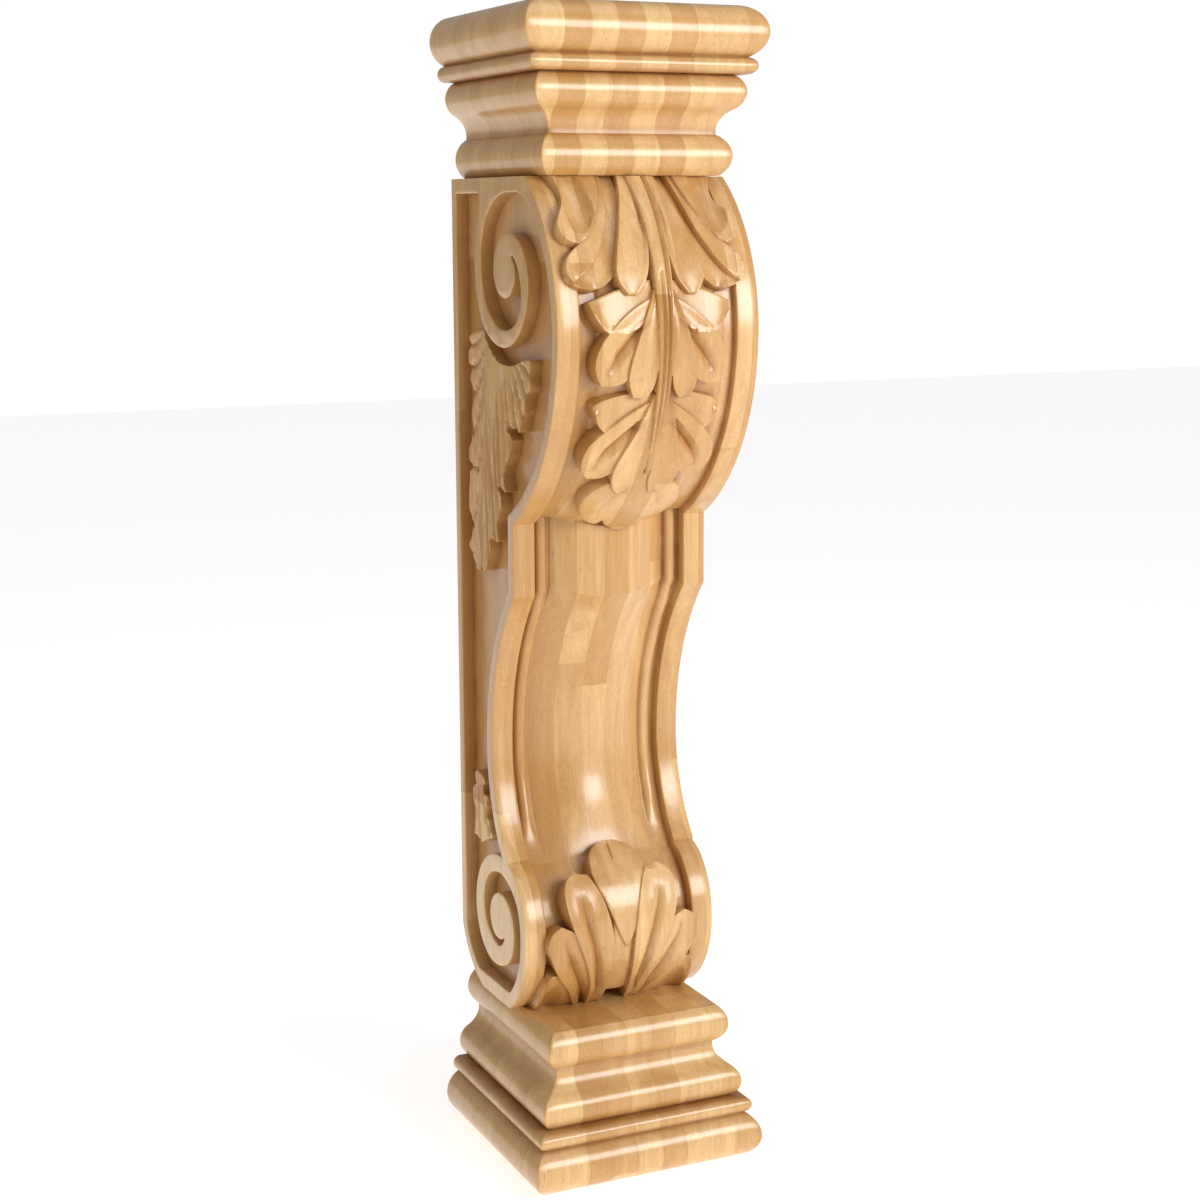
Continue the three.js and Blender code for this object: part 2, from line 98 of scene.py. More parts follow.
# Painted shade in creases, under the steps beside lobes, beside the leaf and the band, and along
# the side panel walls: how far it fades out from its edge
CREASE_FADE, STEP_FADE, LEAF_FADE, BAND_FADE, PANEL_FADE = 1.3, 1.4, 5.0, 3.0, 4.0

# Sunk side panels
PANEL_FLOOR = BODY_HALF - 11.0
STILE, RAIL, FRONT_STILE, SILL = 8.5, 11.6, 11.0, 13.0
FLUTE_DEPTH, FLUTE_WIDTH = 1.7, 1.2


def mix(a, b, t):
    """Value part of the way from a to b."""
    return a + (b - a) * t


def ramp(a, b, x):
    """Smooth rise from 0 at a to 1 at b."""
    t = np.clip((x - a) / (b - a), 0, 1)
    return t * t * (3 - 2 * t)


# Paths across a flat plan


def smooth_path(path, rounds=3):
    """An open path with its corners eased and its ends kept."""
    p = np.asarray(path, float)
    for _ in range(rounds):
        a, b = p[:-1], p[1:]
        cut = np.empty((2 * len(a), 2))
        cut[0::2] = 0.75 * a + 0.25 * b
        cut[1::2] = 0.25 * a + 0.75 * b
        cut[0], cut[-1] = p[0], p[-1]
        p = cut
    return p


def even_path(path, step, closed=False):
    """The path with points an even step apart."""
    p = np.asarray(path, float)
    if closed:
        p = np.vstack([p, p[:1]])
    length = np.concatenate([[0], np.cumsum(np.linalg.norm(np.diff(p, axis=0), axis=1))])
    count = max(3, int(round(length[-1] / step)))
    want = np.linspace(0, length[-1], count + 1)
    out = np.column_stack([np.interp(want, length, p[:, 0]), np.interp(want, length, p[:, 1])])
    return out[:-1] if closed else out


def near_path(points, path, closed=False):
    """Distance of each point to the path, and the share of its length at the nearest place."""
    a = np.asarray(path, float)
    b = np.roll(a, -1, axis=0) if closed else a[1:]
    a = a if closed else a[:-1]
    run = b - a
    size = np.maximum((run ** 2).sum(1), 1e-12)
    start = np.concatenate([[0], np.cumsum(np.sqrt(size))])
    best = np.full(len(points), 1e9)
    along = np.zeros(len(points))
    for i in range(len(a)):
        off = points - a[i]
        t = np.clip((off @ run[i]) / size[i], 0, 1)
        d = np.hypot(off[:, 0] - t * run[i, 0], off[:, 1] - t * run[i, 1])
        closer = d < best
        best[closer] = d[closer]
        along[closer] = start[i] + t[closer] * math.sqrt(size[i])
    return best, along / start[-1]


def inside(points, outline):
    """Whether each point lies inside a closed outline."""
    hit = np.zeros(len(points), bool)
    x, y = points[:, 0], points[:, 1]
    previous = outline[-1]
    for corner in outline:
        crosses = (corner[1] > y) != (previous[1] > y)
        rise = previous[1] - corner[1]
        if rise:
            at = (previous[0] - corner[0]) * (y - corner[1]) / rise + corner[0]
            hit ^= crosses & (x < at)
        previous = corner
    return hit


def depth_inside(points, outline):
    """How far inside a closed outline each point lies, negative outside."""
    distance = near_path(points, outline, closed=True)[0]
    return np.where(inside(points, outline), distance, -distance)


def beside(path, offsets, closed=False):
    """Rows of points along a path, each row at one distance to its side."""
    p = np.asarray(path, float)
    if closed:
        run = np.roll(p, -1, axis=0) - np.roll(p, 1, axis=0)
    else:
        run = np.gradient(p, axis=0)
    run /= np.maximum(np.linalg.norm(run, axis=1, keepdims=True), 1e-9)
    normal = np.column_stack([-run[:, 1], run[:, 0]])
    return np.vstack([p + normal * k for k in offsets])


def lattice(across, down):
    """Every crossing of the places across and the places down."""
    return np.array(np.meshgrid(across, down)).reshape(2, -1).T


def first_near(points, gap):
    """Index of the first point in each cell of a grid as wide as the gap."""
    cell = np.round(points / gap).astype(np.int64)
    return np.sort(np.unique(cell, axis=0, return_index=True)[1])


def thin_out(points, gap):
    """The points without those closer together than the gap."""
    return points[first_near(points, gap)]


# Swept front of the body


def arc_run(reach, height, radius, start, end, hollow=False):
    """Reach, height and outward direction along one arc of the profile."""
    a = np.linspace(start, end, max(6, int(abs(end - start) * radius)))
    side = -1 if hollow else 1
    return np.column_stack([reach + side * radius * np.cos(a), height + radius * np.sin(a),
                            np.cos(a), side * np.sin(a)])


def front_profile():
    """Down the front: distance along it, reach, height, outward direction, and the folds."""
    low = BELLY_REACH - BELLY_LOWER
    belly_end = -math.acos((PLINTH_REACH - low) / BELLY_LOWER)
    waist = WAIST_REACH + WAIST_UPPER
    waist_start = math.acos((waist - PLINTH_REACH) / WAIST_UPPER)
    waist_end = -math.asin((WAIST_HEIGHT - LEDGE_HEIGHT) / WAIST_LOWER)
    upper_belly = arc_run(BELLY_REACH - BELLY_UPPER, BELLY_HEIGHT, BELLY_UPPER,
                          math.asin((HEAD_HEIGHT - BELLY_HEIGHT) / BELLY_UPPER), 0)
    lower_belly = arc_run(low, BELLY_HEIGHT, BELLY_LOWER, 0, belly_end)
    upper_waist = arc_run(waist, WAIST_HEIGHT, WAIST_UPPER, waist_start, 0, True)
    lower_waist = arc_run(WAIST_REACH + WAIST_LOWER, WAIST_HEIGHT, WAIST_LOWER, 0, waist_end, True)
    heights = np.linspace(lower_belly[-1, 1], upper_waist[0, 1], 40)
    ahead = np.ones_like(heights)
    plinth = np.column_stack([PLINTH_REACH * ahead, heights, ahead, 0 * ahead])
    start = lower_waist[-1]
    rise, drop = start[1] - FOOT_HEIGHT, FOOT_REACH - start[0]
    radius = (rise ** 2 + drop ** 2) / (2 * drop)
    upper_foot = arc_run(FOOT_REACH - radius, FOOT_HEIGHT, radius, math.asin(rise / radius), 0)
    lower_foot = arc_run(FOOT_REACH - FOOT_LOWER, FOOT_HEIGHT, FOOT_LOWER, 0, -FOOT_TURN)
    runs = [upper_belly, lower_belly, plinth, upper_waist, lower_waist, upper_foot, lower_foot]
    rows = np.vstack(runs)
    s = np.concatenate([[0], np.cumsum(np.hypot(*np.diff(rows[:, :2], axis=0).T))])
    s -= np.interp(-SEAM_HEIGHT, -rows[:, 1], s)
    aim = rows[:, 2:].copy()
    folds = []
    for last in np.cumsum([len(r) for r in runs])[:-1]:
        one, two = rows[last - 1, 2:], rows[last, 2:]
        if np.hypot(*(one - two)) < LEAST_FOLD:
            continue
        folds.append(s[last])
        both = one + two
        mitre = both * 2 / (both @ both)
        for own, part in ((one, slice(0, last)), (two, slice(last, None))):
            pull = np.clip(1 - np.abs(s[part] - s[last]) / FOLD_FADE, 0, 1)[:, None]
            aim[part] += (mitre - own) * pull
    return s, rows[:, 0], rows[:, 1], aim, folds


*PROFILE, FOLDS = front_profile()
PLINTH_TOP, PLINTH_FOOT, LEDGE_AT = FOLDS


def on_front(x, s, proud):
    """Places on the front, at x across it and s down it, standing proud of the profile."""
    table, reach, height, aim = PROFILE
    f = np.interp(s, table, reach) + proud * np.interp(s, table, aim[:, 0])
    z = np.interp(s, table, height) + proud * np.interp(s, table, aim[:, 1])
    return np.column_stack([x, BACK - f, z])


def plain_front(x, s):
    """How far the front stands proud before the leaves are added."""
    u = np.abs(x)
    below = ramp(PLINTH_TOP - 1, PLINTH_TOP, s)
    k = np.minimum(u / SWELL_HALF, 1)
    waist = ramp(PLINTH_FOOT, PLINTH_FOOT + WAIST_FADE, s)
    edge = mix(mix(BELLY_EDGE, SWELL_EDGE, below), WAIST_EDGE, waist)
    proud = mix(mix(BELLY_CROWN, SWELL_CROWN, below), edge, k * k)
    channel = mix(mix(BELLY_CHANNEL, CHANNEL, below), WAIST_CHANNEL, waist)
    proud = mix(proud, channel, ramp(SWELL_HALF - 0.5, SWELL_HALF + 0.7, u))
    b = np.clip(np.abs(u - BEAD_CENTRE) / BEAD_HALF, 0, 1)
    here = ramp(PLINTH_TOP - 1, PLINTH_TOP + 0.5, s)
    here = here * (1 - ramp(LEDGE_AT - BEAD_END[0], LEDGE_AT - BEAD_END[1], s))
    proud = proud + here * BEAD_RISE * np.sqrt(1 - b * b)
    proud = mix(proud, FOOT_FIELD, ramp(LEDGE_AT - FOOT_FADE[0], LEDGE_AT + FOOT_FADE[1], s))
    step = np.clip((s - LEDGE_AT) / 0.5, 0, 1) * np.clip(1 - (s - LEDGE_AT) / LEDGE_FADE, 0, 1)
    band = -LEDGE_DROP * step
    for room, ease in ((u - BAND_EDGE, BAND_INNER_EASE), (BODY_HALF - u, BAND_OUTER_EASE)):
        band = band - BAND_ROUND * np.clip(1 - room / ease, 0, 1) ** 2
    return mix(proud, band, np.clip((u - BAND_EDGE + WALL) / WALL, 0, 1))


# Carved lobes of the front, in distance from the middle line and distance down the profile.
# Each has an inner and an outer edge from root to tip, and the height of its crown and of its rim.
# A lobe on the middle line has distances down with half widths instead, and how far off it stands.
# Some have a tilt from inner to outer edge, creases (share across, start, end, depth, half width)
# or a bowl: place across and down, half width, reach above and beneath, and depth.
PLAIN_LOBE = dict(tilt=0.0, bowl=None, creases=(), off=0)
LEAF_LOBES = {
    "curl": dict(
        crown=9.0, rim=9.6, bowl=(57, 44, 13, 50, 19, 7.5),
        inner=[(31, -16), (33, 8), (35, 25), (40, 40), (49, 57), (56, 66)],
        outer=[(72, -16), (68, 8), (64, 22), (65, 34), (73, 46), (78, 57), (73, 67), (63, 70)]),
    "second_curl": dict(
        crown=2.6, rim=5.6,
        inner=[(15, -16), (18, 23), (24, 50), (31, 76), (37, 94), (47, 101)],
        outer=[(30, -16), (34, 16), (42, 40), (52, 60), (63, 70), (75, 80), (77, 93), (68, 101),
               (57, 103)]),
    "second_curl_lip": dict(
        crown=7.4, rim=8.2,
        inner=[(27, -16), (29, 16), (33, 40), (38, 59), (47, 75), (56, 87), (65, 94)],
        outer=[(36, -16), (38, 20), (44, 45), (52, 62), (62, 70), (74, 79), (77, 90), (71, 98)]),
    "hanging_flame": dict(
        crown=9.6, rim=10.6, creases=[(0.12, 0.0, 0.8, 2.5, 3.0)],
        inner=[(3, -16), (5, 10), (6, 48), (8, 80), (13, 98), (22, 107)],
        outer=[(12, -16), (17, 22), (28, 57), (37, 86), (37, 98), (29, 107)]),
    "second_tier_corner": dict(
        crown=6.4, rim=7.6, tilt=-4.0,
        inner=[(8, 118), (18, 128), (30, 136), (45, 135), (53, 128), (58, 119)],
        outer=[(8, 96), (22, 99), (36, 103), (50, 108), (60, 112)]),
    "second_tier_wing": dict(
        crown=8.2, rim=9.2, creases=[(0.5, 0.1, 0.82, 5.4, 5.5)],
        inner=[(7, 134), (16, 150), (25, 163), (33, 170), (43, 171)],
        outer=[(7, 108), (26, 117), (42, 130), (52, 141), (57, 153), (55, 164), (50, 171)]),
    "second_tier_flame": dict(
        crown=9.0, rim=11.4,
        inner=[(4, 104), (4.5, 130), (5.5, 155), (8, 173), (15, 181)],
        outer=[(8, 104), (19, 130), (27, 152), (30, 167), (24, 180)]),
    "third_tier_corner": dict(
        crown=5.8, rim=7.2, tilt=-4.0,
        inner=[(7, 190), (18, 200), (30, 208), (42, 207), (49, 201), (52, 193)],
        outer=[(7, 173), (21, 177), (35, 180), (48, 183), (54, 187)]),
    "third_tier_wing": dict(
        crown=8.2, rim=9.2, creases=[(0.5, 0.1, 0.8, 5.4, 5.5)],
        inner=[(6, 208), (16, 226), (26, 240), (34, 246), (42, 247)],
        outer=[(6, 182), (26, 193), (42, 205), (52, 214), (57, 226), (55, 239), (47, 247)]),
    "third_tier_flame": dict(
        crown=9.0, rim=11.4,
        inner=[(2, 178), (2.5, 210), (3, 237), (4, 253), (9, 262)],
        outer=[(7, 178), (17, 206), (27, 230), (29, 245), (24, 257), (17, 263)]),
    "bottom_wing": dict(
        crown=9.4, rim=7.4, creases=[(0.45, 0.0, 0.5, 2.0, 4.0)],
        inner=[(4, 262), (6, 280), (11, 297), (18, 305)],
        outer=[(8, 244), (28, 253), (41, 264), (44, 279), (37, 294), (27, 304)]),
}
RIGHT_SHARE = 0.93  # the leaf's right half is carved a little narrower
LEAF_MIDDLES = {
    "bottom_lobe": dict(
        crown=9.6, rim=8.0, off=2.5,
        widths=[(240, 12), (262, 18), (285, 19), (303, 18), (313, 13), (320, 6)]),
    "midrib": dict(
        crown=12.6, rim=11.6,
        creases=[(0.36, 0.42, 1.0, 2.2, 2.2), (0.74, 0.0, 1.0, 2.8, 2.6)],
        widths=[(-16, 10.5), (20, 9), (60, 7.6), (105, 6.8), (150, 6), (195, 4.8), (242, 2.2)]),
}
FOOT_LOBES = {
    "foot_flame": dict(
        crown=7.6, rim=9.4, creases=[(0.55, 0.25, 0.88, 4.4, 5.0)],
        inner=[(13, 772), (9.5, 718), (8.5, 690), (13, 666), (19, 648), (26, 636)],
        outer=[(22, 772), (24, 725), (36, 694), (46, 672), (50, 652), (46, 639), (36, 633)]),
    "foot_wing": dict(
        crown=6.8, rim=8.2, creases=[(0.5, 0.15, 0.88, 4.6, 5.5)],
        inner=[(13, 772), (18, 735), (26, 705), (36, 684), (46, 675)],
        outer=[(24, 772), (42, 728), (55, 712), (63, 697), (67, 685), (64, 675), (54, 671)]),
    "foot_corner": dict(
        crown=5.6, rim=7.2, bowl=(55, 744, 9, 24, 22, 4.0),
        inner=[(20, 772), (24, 758), (34, 733), (44, 719), (54, 711)],
        outer=[(66, 772), (67, 745), (68, 722), (62, 711)]),
}
FOOT_MIDDLES = {
    "foot_stem": dict(
        crown=5.4, rim=4.2, off=1.0,
        widths=[(672, 9), (700, 9), (720, 9.5), (737, 11)]),
    "foot_lobe": dict(
        crown=7.4, rim=7.0, creases=[(0.45, 0.72, 1.0, 1.6, 1.2)], off=3.0,
        widths=[(692, 1.5), (684, 6), (672, 11), (658, 17), (646, 22), (632, 24), (619, 21),
                (611, 14), (607, 5)]),
}


class Lobe:
    """One carved leaf lobe. Its side is -1 on the left, and on the right a share of its width."""

    def __init__(self, spec, side):
        spec = {**PLAIN_LOBE, **spec}
        if "widths" in spec:
            inner = [(spec["off"] - w, s) for s, w in spec["widths"]]
            outer = [(spec["off"] + w, s) for s, w in spec["widths"]]
        else:
            inner = [(side * x, s) for x, s in spec["inner"]]
            outer = [(side * x, s) for x, s in spec["outer"]]
        self.inner = even_path(smooth_path(inner), 1.5)
        self.outer = even_path(smooth_path(outer), 1.5)
        self.outline = even_path(np.vstack([self.inner, self.outer[::-1]]), 1.25, closed=True)
        ahead = np.roll(self.outline, -1, axis=0)
        area = (self.outline[:, 0] * ahead[:, 1] - ahead[:, 0] * self.outline[:, 1]).sum()
        self.turn = 1 if area > 0 else -1
        self.spec = spec
        self.side = side
        self.creases = []
        for across, start, end, depth, half in spec["creases"]:
            t = np.linspace(start, end, 40)
            self.creases.append((self.across(across, t), depth, half))

    def across(self, share, t):
        """Places a share of the way across the lobe, at shares t of its length."""
        def at(path):
            k = np.linspace(0, 1, len(path))
            return np.column_stack([np.interp(t, k, path[:, 0]), np.interp(t, k, path[:, 1])])
        return mix(at(self.inner), at(self.outer), share)

    def edge_rows(self):
        """Rows of points along the lobe's edge: rim, foot of its wall and eased top."""
        steps = (0, -WALL, 0.5, EASE)
        return [beside(self.outline, (k * self.turn,), closed=True) for k in steps]

    def crease_rows(self):
        """Rows of points along the lobe's creases."""
        rows = []
        for path, _, half in self.creases:
            middle = even_path(path, 1.3)
            rows += [middle] + [beside(middle, (k,)) for k in (-0.7, 0.7, -half, half)]
        return rows

    def height(self, points, under):
        """Height of the surface with this lobe added, and how far each point lies inside it."""
        low = self.outline.min(0) - 2
        high = self.outline.max(0) + 2
        near = np.all((points > low) & (points < high), axis=1)
        out = under.copy()
        depth = np.full(len(points), -50.0)
        if not near.any():
            return out, depth
        p = points[near]
        to_inner = near_path(p, self.inner)[0]
        to_outer = near_path(p, self.outer)[0]
        v = to_inner / np.maximum(to_inner + to_outer, 1e-6)
        d = depth_inside(p, self.outline)
        spec = self.spec
        top = spec["rim"] + (spec["crown"] - spec["rim"]) * (4 * v * (1 - v)) ** DIP_POWER
        top = top + spec["tilt"] * (v - 0.5)
        for path, deep, half in self.creases:
            away, along = near_path(p, path)
            fade = np.clip((1 - along) / TIP_FADE, 0, 1) * np.clip(along / ROOT_FADE + 0.3, 0, 1)
            top = top - deep * fade * np.clip(1 - away / half, 0, 1) ** CREASE_POWER
        if spec["bowl"]:
            x, s, rx, above, beneath, deep = spec["bowl"]
            down = p[:, 1] - s
            away = ((p[:, 0] - self.side * x) / rx) ** 2
            away += (down / np.where(down < 0, above, beneath)) ** 2
            top = top - deep * np.clip(1 - away, 0, 1)
        k = 1 - np.clip(d, 0, EASE) / EASE
        top = top - 0.5 * EASE * (1 - np.sqrt(1 - k * k))
        wall = np.clip(-d / WALL, 0, 1)
        here = under[near]
        top = mix(top, np.minimum(here, FOOT_FIELD), wall)
        out[near] = np.where(d > -WALL, np.maximum(here, top), here)
        depth[near] = d
        return out, depth


def carved_lobes():
    """All the lobes of the front leaf and the foot."""
    lobes = []
    for table, right in ((LEAF_LOBES, RIGHT_SHARE), (FOOT_LOBES, 1)):
        for spec in table.values():
            lobes += [Lobe(spec, -1), Lobe(spec, right)]
    for table in (LEAF_MIDDLES, FOOT_MIDDLES):
        lobes += [Lobe(spec, 1) for spec in table.values()]
    return lobes


def front_rows():
    """Distances down the front at which the bands and the edges have points."""
    table = PROFILE[0]
    rows = list(np.arange(-12, PLINTH_TOP - 2, 3.0))
    rows += [PLINTH_TOP - 1, PLINTH_TOP, PLINTH_TOP + 0.5]
    rows += list(np.arange(PLINTH_TOP + 3, PLINTH_FOOT - 1, 5.0)) + [PLINTH_FOOT]
    rows += list(np.arange(PLINTH_FOOT + 2.5, LEDGE_AT - 1.5, 3.0))
    rows += [LEDGE_AT - 0.6, LEDGE_AT, LEDGE_AT + 0.5]
    rows += list(np.arange(LEDGE_AT + 2.5, table[-1] - 1, 2.6)) + [table[-1]]
    return np.array(rows)


def lobe_lines(rows, lobes):
    """Points along the lobes' edges and creases that show, and the edges that join them."""
    lines = []
    for i, lobe in enumerate(lobes):
        lines += [(i, row, True, k < 2) for k, row in enumerate(lobe.edge_rows())]
        lines += [(i, row, False, k % 5 == 0) for k, row in enumerate(lobe.crease_rows())]
    points = np.vstack([row for _, row, _, _ in lines])
    owner = np.concatenate([np.full(len(row), i) for i, row, _, _ in lines])
    crease = np.concatenate([np.full(len(row), not edge) for _, row, edge, _ in lines])
    rim = np.array([lobe.spec["rim"] - 0.5 * abs(lobe.spec["tilt"]) for lobe in lobes])[owner]
    shown = np.abs(points[:, 0]) < BODY_HALF - 3
    shown &= (points[:, 1] > rows[0] + 0.5) & (points[:, 1] < rows[-1] - 0.5)
    ground = np.full(len(points), -40.0)
    sunk, level, clear = 0.4, 0.1, 1.9
    for i, lobe in enumerate(lobes):
        top, depth = lobe.height(points, ground)
        covered = (owner != i) & (depth > sunk) & (top > rim - level)
        at_rim = (owner == i) & crease & (depth < clear)
        shown &= ~(covered | at_rim)
    kept = np.zeros(len(points), bool)
    kept[first_near(points, 0.3)] = True
    kept &= shown
    place_of = np.full(len(points), -1)
    place_of[kept] = np.arange(kept.sum())
    edges, start = [], 0
    for _, row, closed, joined in lines:
        if joined:
            index = place_of[start:start + len(row)]
            pairs = list(zip(index[:-1], index[1:])) + ([(index[-1], index[0])] if closed else [])
            edges += [(int(a), int(b)) for a, b in pairs if a >= 0 and b >= 0]
        start += len(row)
    return points[kept], edges


def away_from(points, others, gap):
    """Whether each point stands further than the gap from all the others."""
    tree = KDTree(len(others))
    for i, (x, y) in enumerate(others.tolist()):
        tree.insert((x, y, 0), i)
    tree.balance()
    return np.array([tree.find((x, y, 0))[2] > gap for x, y in points.tolist()])


def front_points(rows, lobes):
    """Plan of the front: every place that gets a point, and the edges to keep."""
    half = [*range(0, 48, 4), 47.4, 48.1, 48.9, 50.2, 50.9]
    half += [BEAD_CENTRE + BEAD_HALF * k for k in (-0.92, -0.75, -0.45, 0, 0.45, 0.75, 0.92)]
    half += [61.4, 63, BAND_EDGE - WALL, BAND_EDGE, BAND_EDGE + 0.45, BAND_EDGE + 0.9]
    half += [70, 76, BODY_HALF - 0.8, BODY_HALF - 0.35, BODY_HALF]
    columns = np.array(sorted({round(k * x, 4) for x in half for k in (-1, 1)}))
    grid = lattice(columns, rows)
    lines, edges = lobe_lines(rows, lobes)
    step = 2.2
    across = np.arange(-BAND_EDGE + 2, BAND_EDGE - 1, step)
    fill = np.vstack([lattice(across, np.arange(top + 1, foot, step))
                      for top, foot in ((rows[0], PLINTH_TOP + 1), (LEDGE_AT - 20, rows[-1]))])
    fill = fill[(fill[:, 1] > rows[0] + 0.5) & (fill[:, 1] < rows[-1] - 0.5)]
    fill = fill[away_from(fill, lines, 1.2)]
    on_band = np.abs(grid[:, 0]) > BAND_EDGE - 1
    grid = grid[away_from(grid, lines, 0.8) | (on_band & away_from(grid, lines, 0.12))]
    rest = thin_out(np.vstack([grid, fill]), 0.42)
    return np.vstack([lines, rest]), edges


def triangulate(points, edges):
    """The points and triangles over them, keeping the given edges."""
    made = delaunay_2d_cdt([Vector(p) for p in points.tolist()], edges, [], 0, 1e-5)
    return np.array([v[:] for v in made[0]]), np.array(made[2])


def build_front():
    """Points, triangles, painted shade mask and rows of the carved front."""
    lobes = carved_lobes()
    rows = front_rows()
    plan, triangles = triangulate(*front_points(rows, lobes))
    proud = plain_front(plan[:, 0], plan[:, 1])
    field = proud.copy()
    nearest = np.full(len(plan), -50.0)
    cut = np.zeros(len(plan))
    depths = []
    for lobe in lobes:
        proud, depth = lobe.height(plan, proud)
        nearest = np.maximum(nearest, depth)
        depths.append(depth)
        # Painted shade along each crease of a lobe
        for path, deep, _ in lobe.creases:
            away = near_path(plan, path)[0]
            line = np.exp(-away / CREASE_FADE) * deep / 5.5
            cut = np.maximum(cut, np.where(depth > 0, line, 0))
    # Painted shade on the lower ground just beside each lobe's wall
    for lobe, depth in zip(lobes, depths):
        under = (depth < -OFF_LOBE) & (proud < lobe.spec["rim"] - 1)
        cut = np.maximum(cut, np.where(under, 0.85 * np.exp(depth / STEP_FADE), 0))
    u, down = np.abs(plan[:, 0]), plan[:, 1]
    # Painted shade on the open field beside the leaf, beside the band walls and in the grooves by
    # the beads
    open_field = (nearest < -OFF_LOBE) & (u < BAND_EDGE)
    shade_by_leaf = np.where(open_field, np.exp(nearest / LEAF_FADE), 0)
    off_band = np.maximum(BAND_EDGE - WALL - u, 0)
    shade_by_band = np.where(u < BAND_EDGE, 0.7 * np.exp(-off_band / BAND_FADE), 0)
    shade_by_bead = np.exp(-((u - BEAD_CENTRE - BEAD_HALF) / 1.6) ** 2)
    shade_by_bead += np.exp(-((u - BEAD_CENTRE + BEAD_HALF) / 2.2) ** 2)
    shade_by_bead *= ramp(PLINTH_TOP - 4, PLINTH_TOP, down)
    shade_by_bead *= 1 - ramp(LEDGE_AT - 30, LEDGE_AT, down)
    # Less painted shade down the waist, full again past the ledge
    calm = 1 - 0.6 * ramp(PLINTH_FOOT - 10, PLINTH_FOOT + 25, down)
    calm = np.maximum(calm, ramp(LEDGE_AT - 5, LEDGE_AT + 20, down))
    shade_by_band, shade_by_bead = shade_by_band * calm, shade_by_bead * calm
    # More painted shade where the field sinks deepest
    hollow = 0.35 * np.clip((-field - 4) / 8, 0, 1) * open_field * calm
    shade_and_knots = np.clip(np.maximum.reduce([shade_by_leaf, shade_by_band, 0.8 * shade_by_bead, cut]) + hollow, 0, 1)
    return on_front(plan[:, 0], plan[:, 1], proud), triangles, shade_and_knots, rows


# Sides of the body, as reach forward of the back and height


def spiral(centre, radii, start, first, last):
    """Points on a scroll: angle in degrees from straight forward, a radius every 45 degrees."""
    angle = np.linspace(first, last, int(abs(last - first) / 3) + 1)
    k = (angle - start) / 45
    i = np.clip(k.astype(int), 0, len(radii) - 2)
    t = np.clip(k - i, 0, 1)
    r = np.array(radii, float)
    at = [r[np.clip(i + j, 0, len(r) - 1)] for j in (-1, 0, 1, 2)]
    radius = 0.5 * (2 * at[1] + (at[2] - at[0]) * t
                    + (2 * at[0] - 5 * at[1] + 4 * at[2] - at[3]) * t ** 2
                    + (3 * at[1] - at[0] - 3 * at[2] + at[3]) * t ** 3)
    w = np.radians(np.clip(angle, start, None))
    return np.column_stack([centre[0] + radius * np.cos(w), centre[1] + radius * np.sin(w)])


UPPER_EYE = (108, 716)
UPPER_OUT = (69, 60.5, 60.5, 57, 51, 45, 36.5, 28.5, 24.5, 22, 20.3, 19.3, 19.3, 20, 18)
UPPER_IN = (70, 60.2, 55, 48, 44.8, 44, 41, 28, 20)
LOWER_EYE = (82, 194)
LOWER_OUT = (55, 53.5, 50.5, 46, 38, 33.5, 29, 26.5, 23.5, 21.5, 20, 18, 15.5, 14.5)
LOWER_IN = (49, 46.5, 42, 40.5, 39, 32, 24, 21, 15)

SIDE_LEAF = [
    (31, 665), (62, 671), (64, 667), (70, 660), (79, 653), (88, 648), (96, 646), (106, 645),
    (115, 645), (126, 647), (134, 649), (144, 651), (153, 652), (155, 649), (152, 640),
    (155, 632), (152, 628), (144, 625), (143, 611), (138, 609), (136, 604), (133, 595),
    (126, 597), (108, 600), (106, 594), (118, 589), (115, 585), (112, 576), (107, 571),
    (100, 566), (99, 560), (102, 551), (105, 546), (96, 549), (86, 550), (88, 547), (93, 543),
    (95, 535), (87, 525), (84, 521), (85, 513), (88, 505), (78, 506), (69, 507), (71, 498),
    (69, 493), (61, 482), (59, 478), (41, 477), (38, 483), (27, 494), (26, 497), (30, 501),
    (33, 517), (27, 523), (26, 533), (27, 546), (28, 555), (36, 559), (44, 559), (31, 563),
    (28, 568), (28, 573), (38, 588), (35, 605), (40, 619), (32, 632), (39, 640), (32, 642),
    (29, 647), (31, 653), (36, 657), (33, 660)]
SPRIG = [
    (32, 309), (43, 308), (50, 306), (52, 300), (45, 299), (46, 291), (58, 293), (56, 286),
    (53, 279), (53, 274), (59, 273), (60, 268), (69, 260), (56, 256), (43, 249), (31, 254),
    (25, 253), (29, 272), (29, 279), (26, 287), (26, 293), (35, 298), (32, 302)]
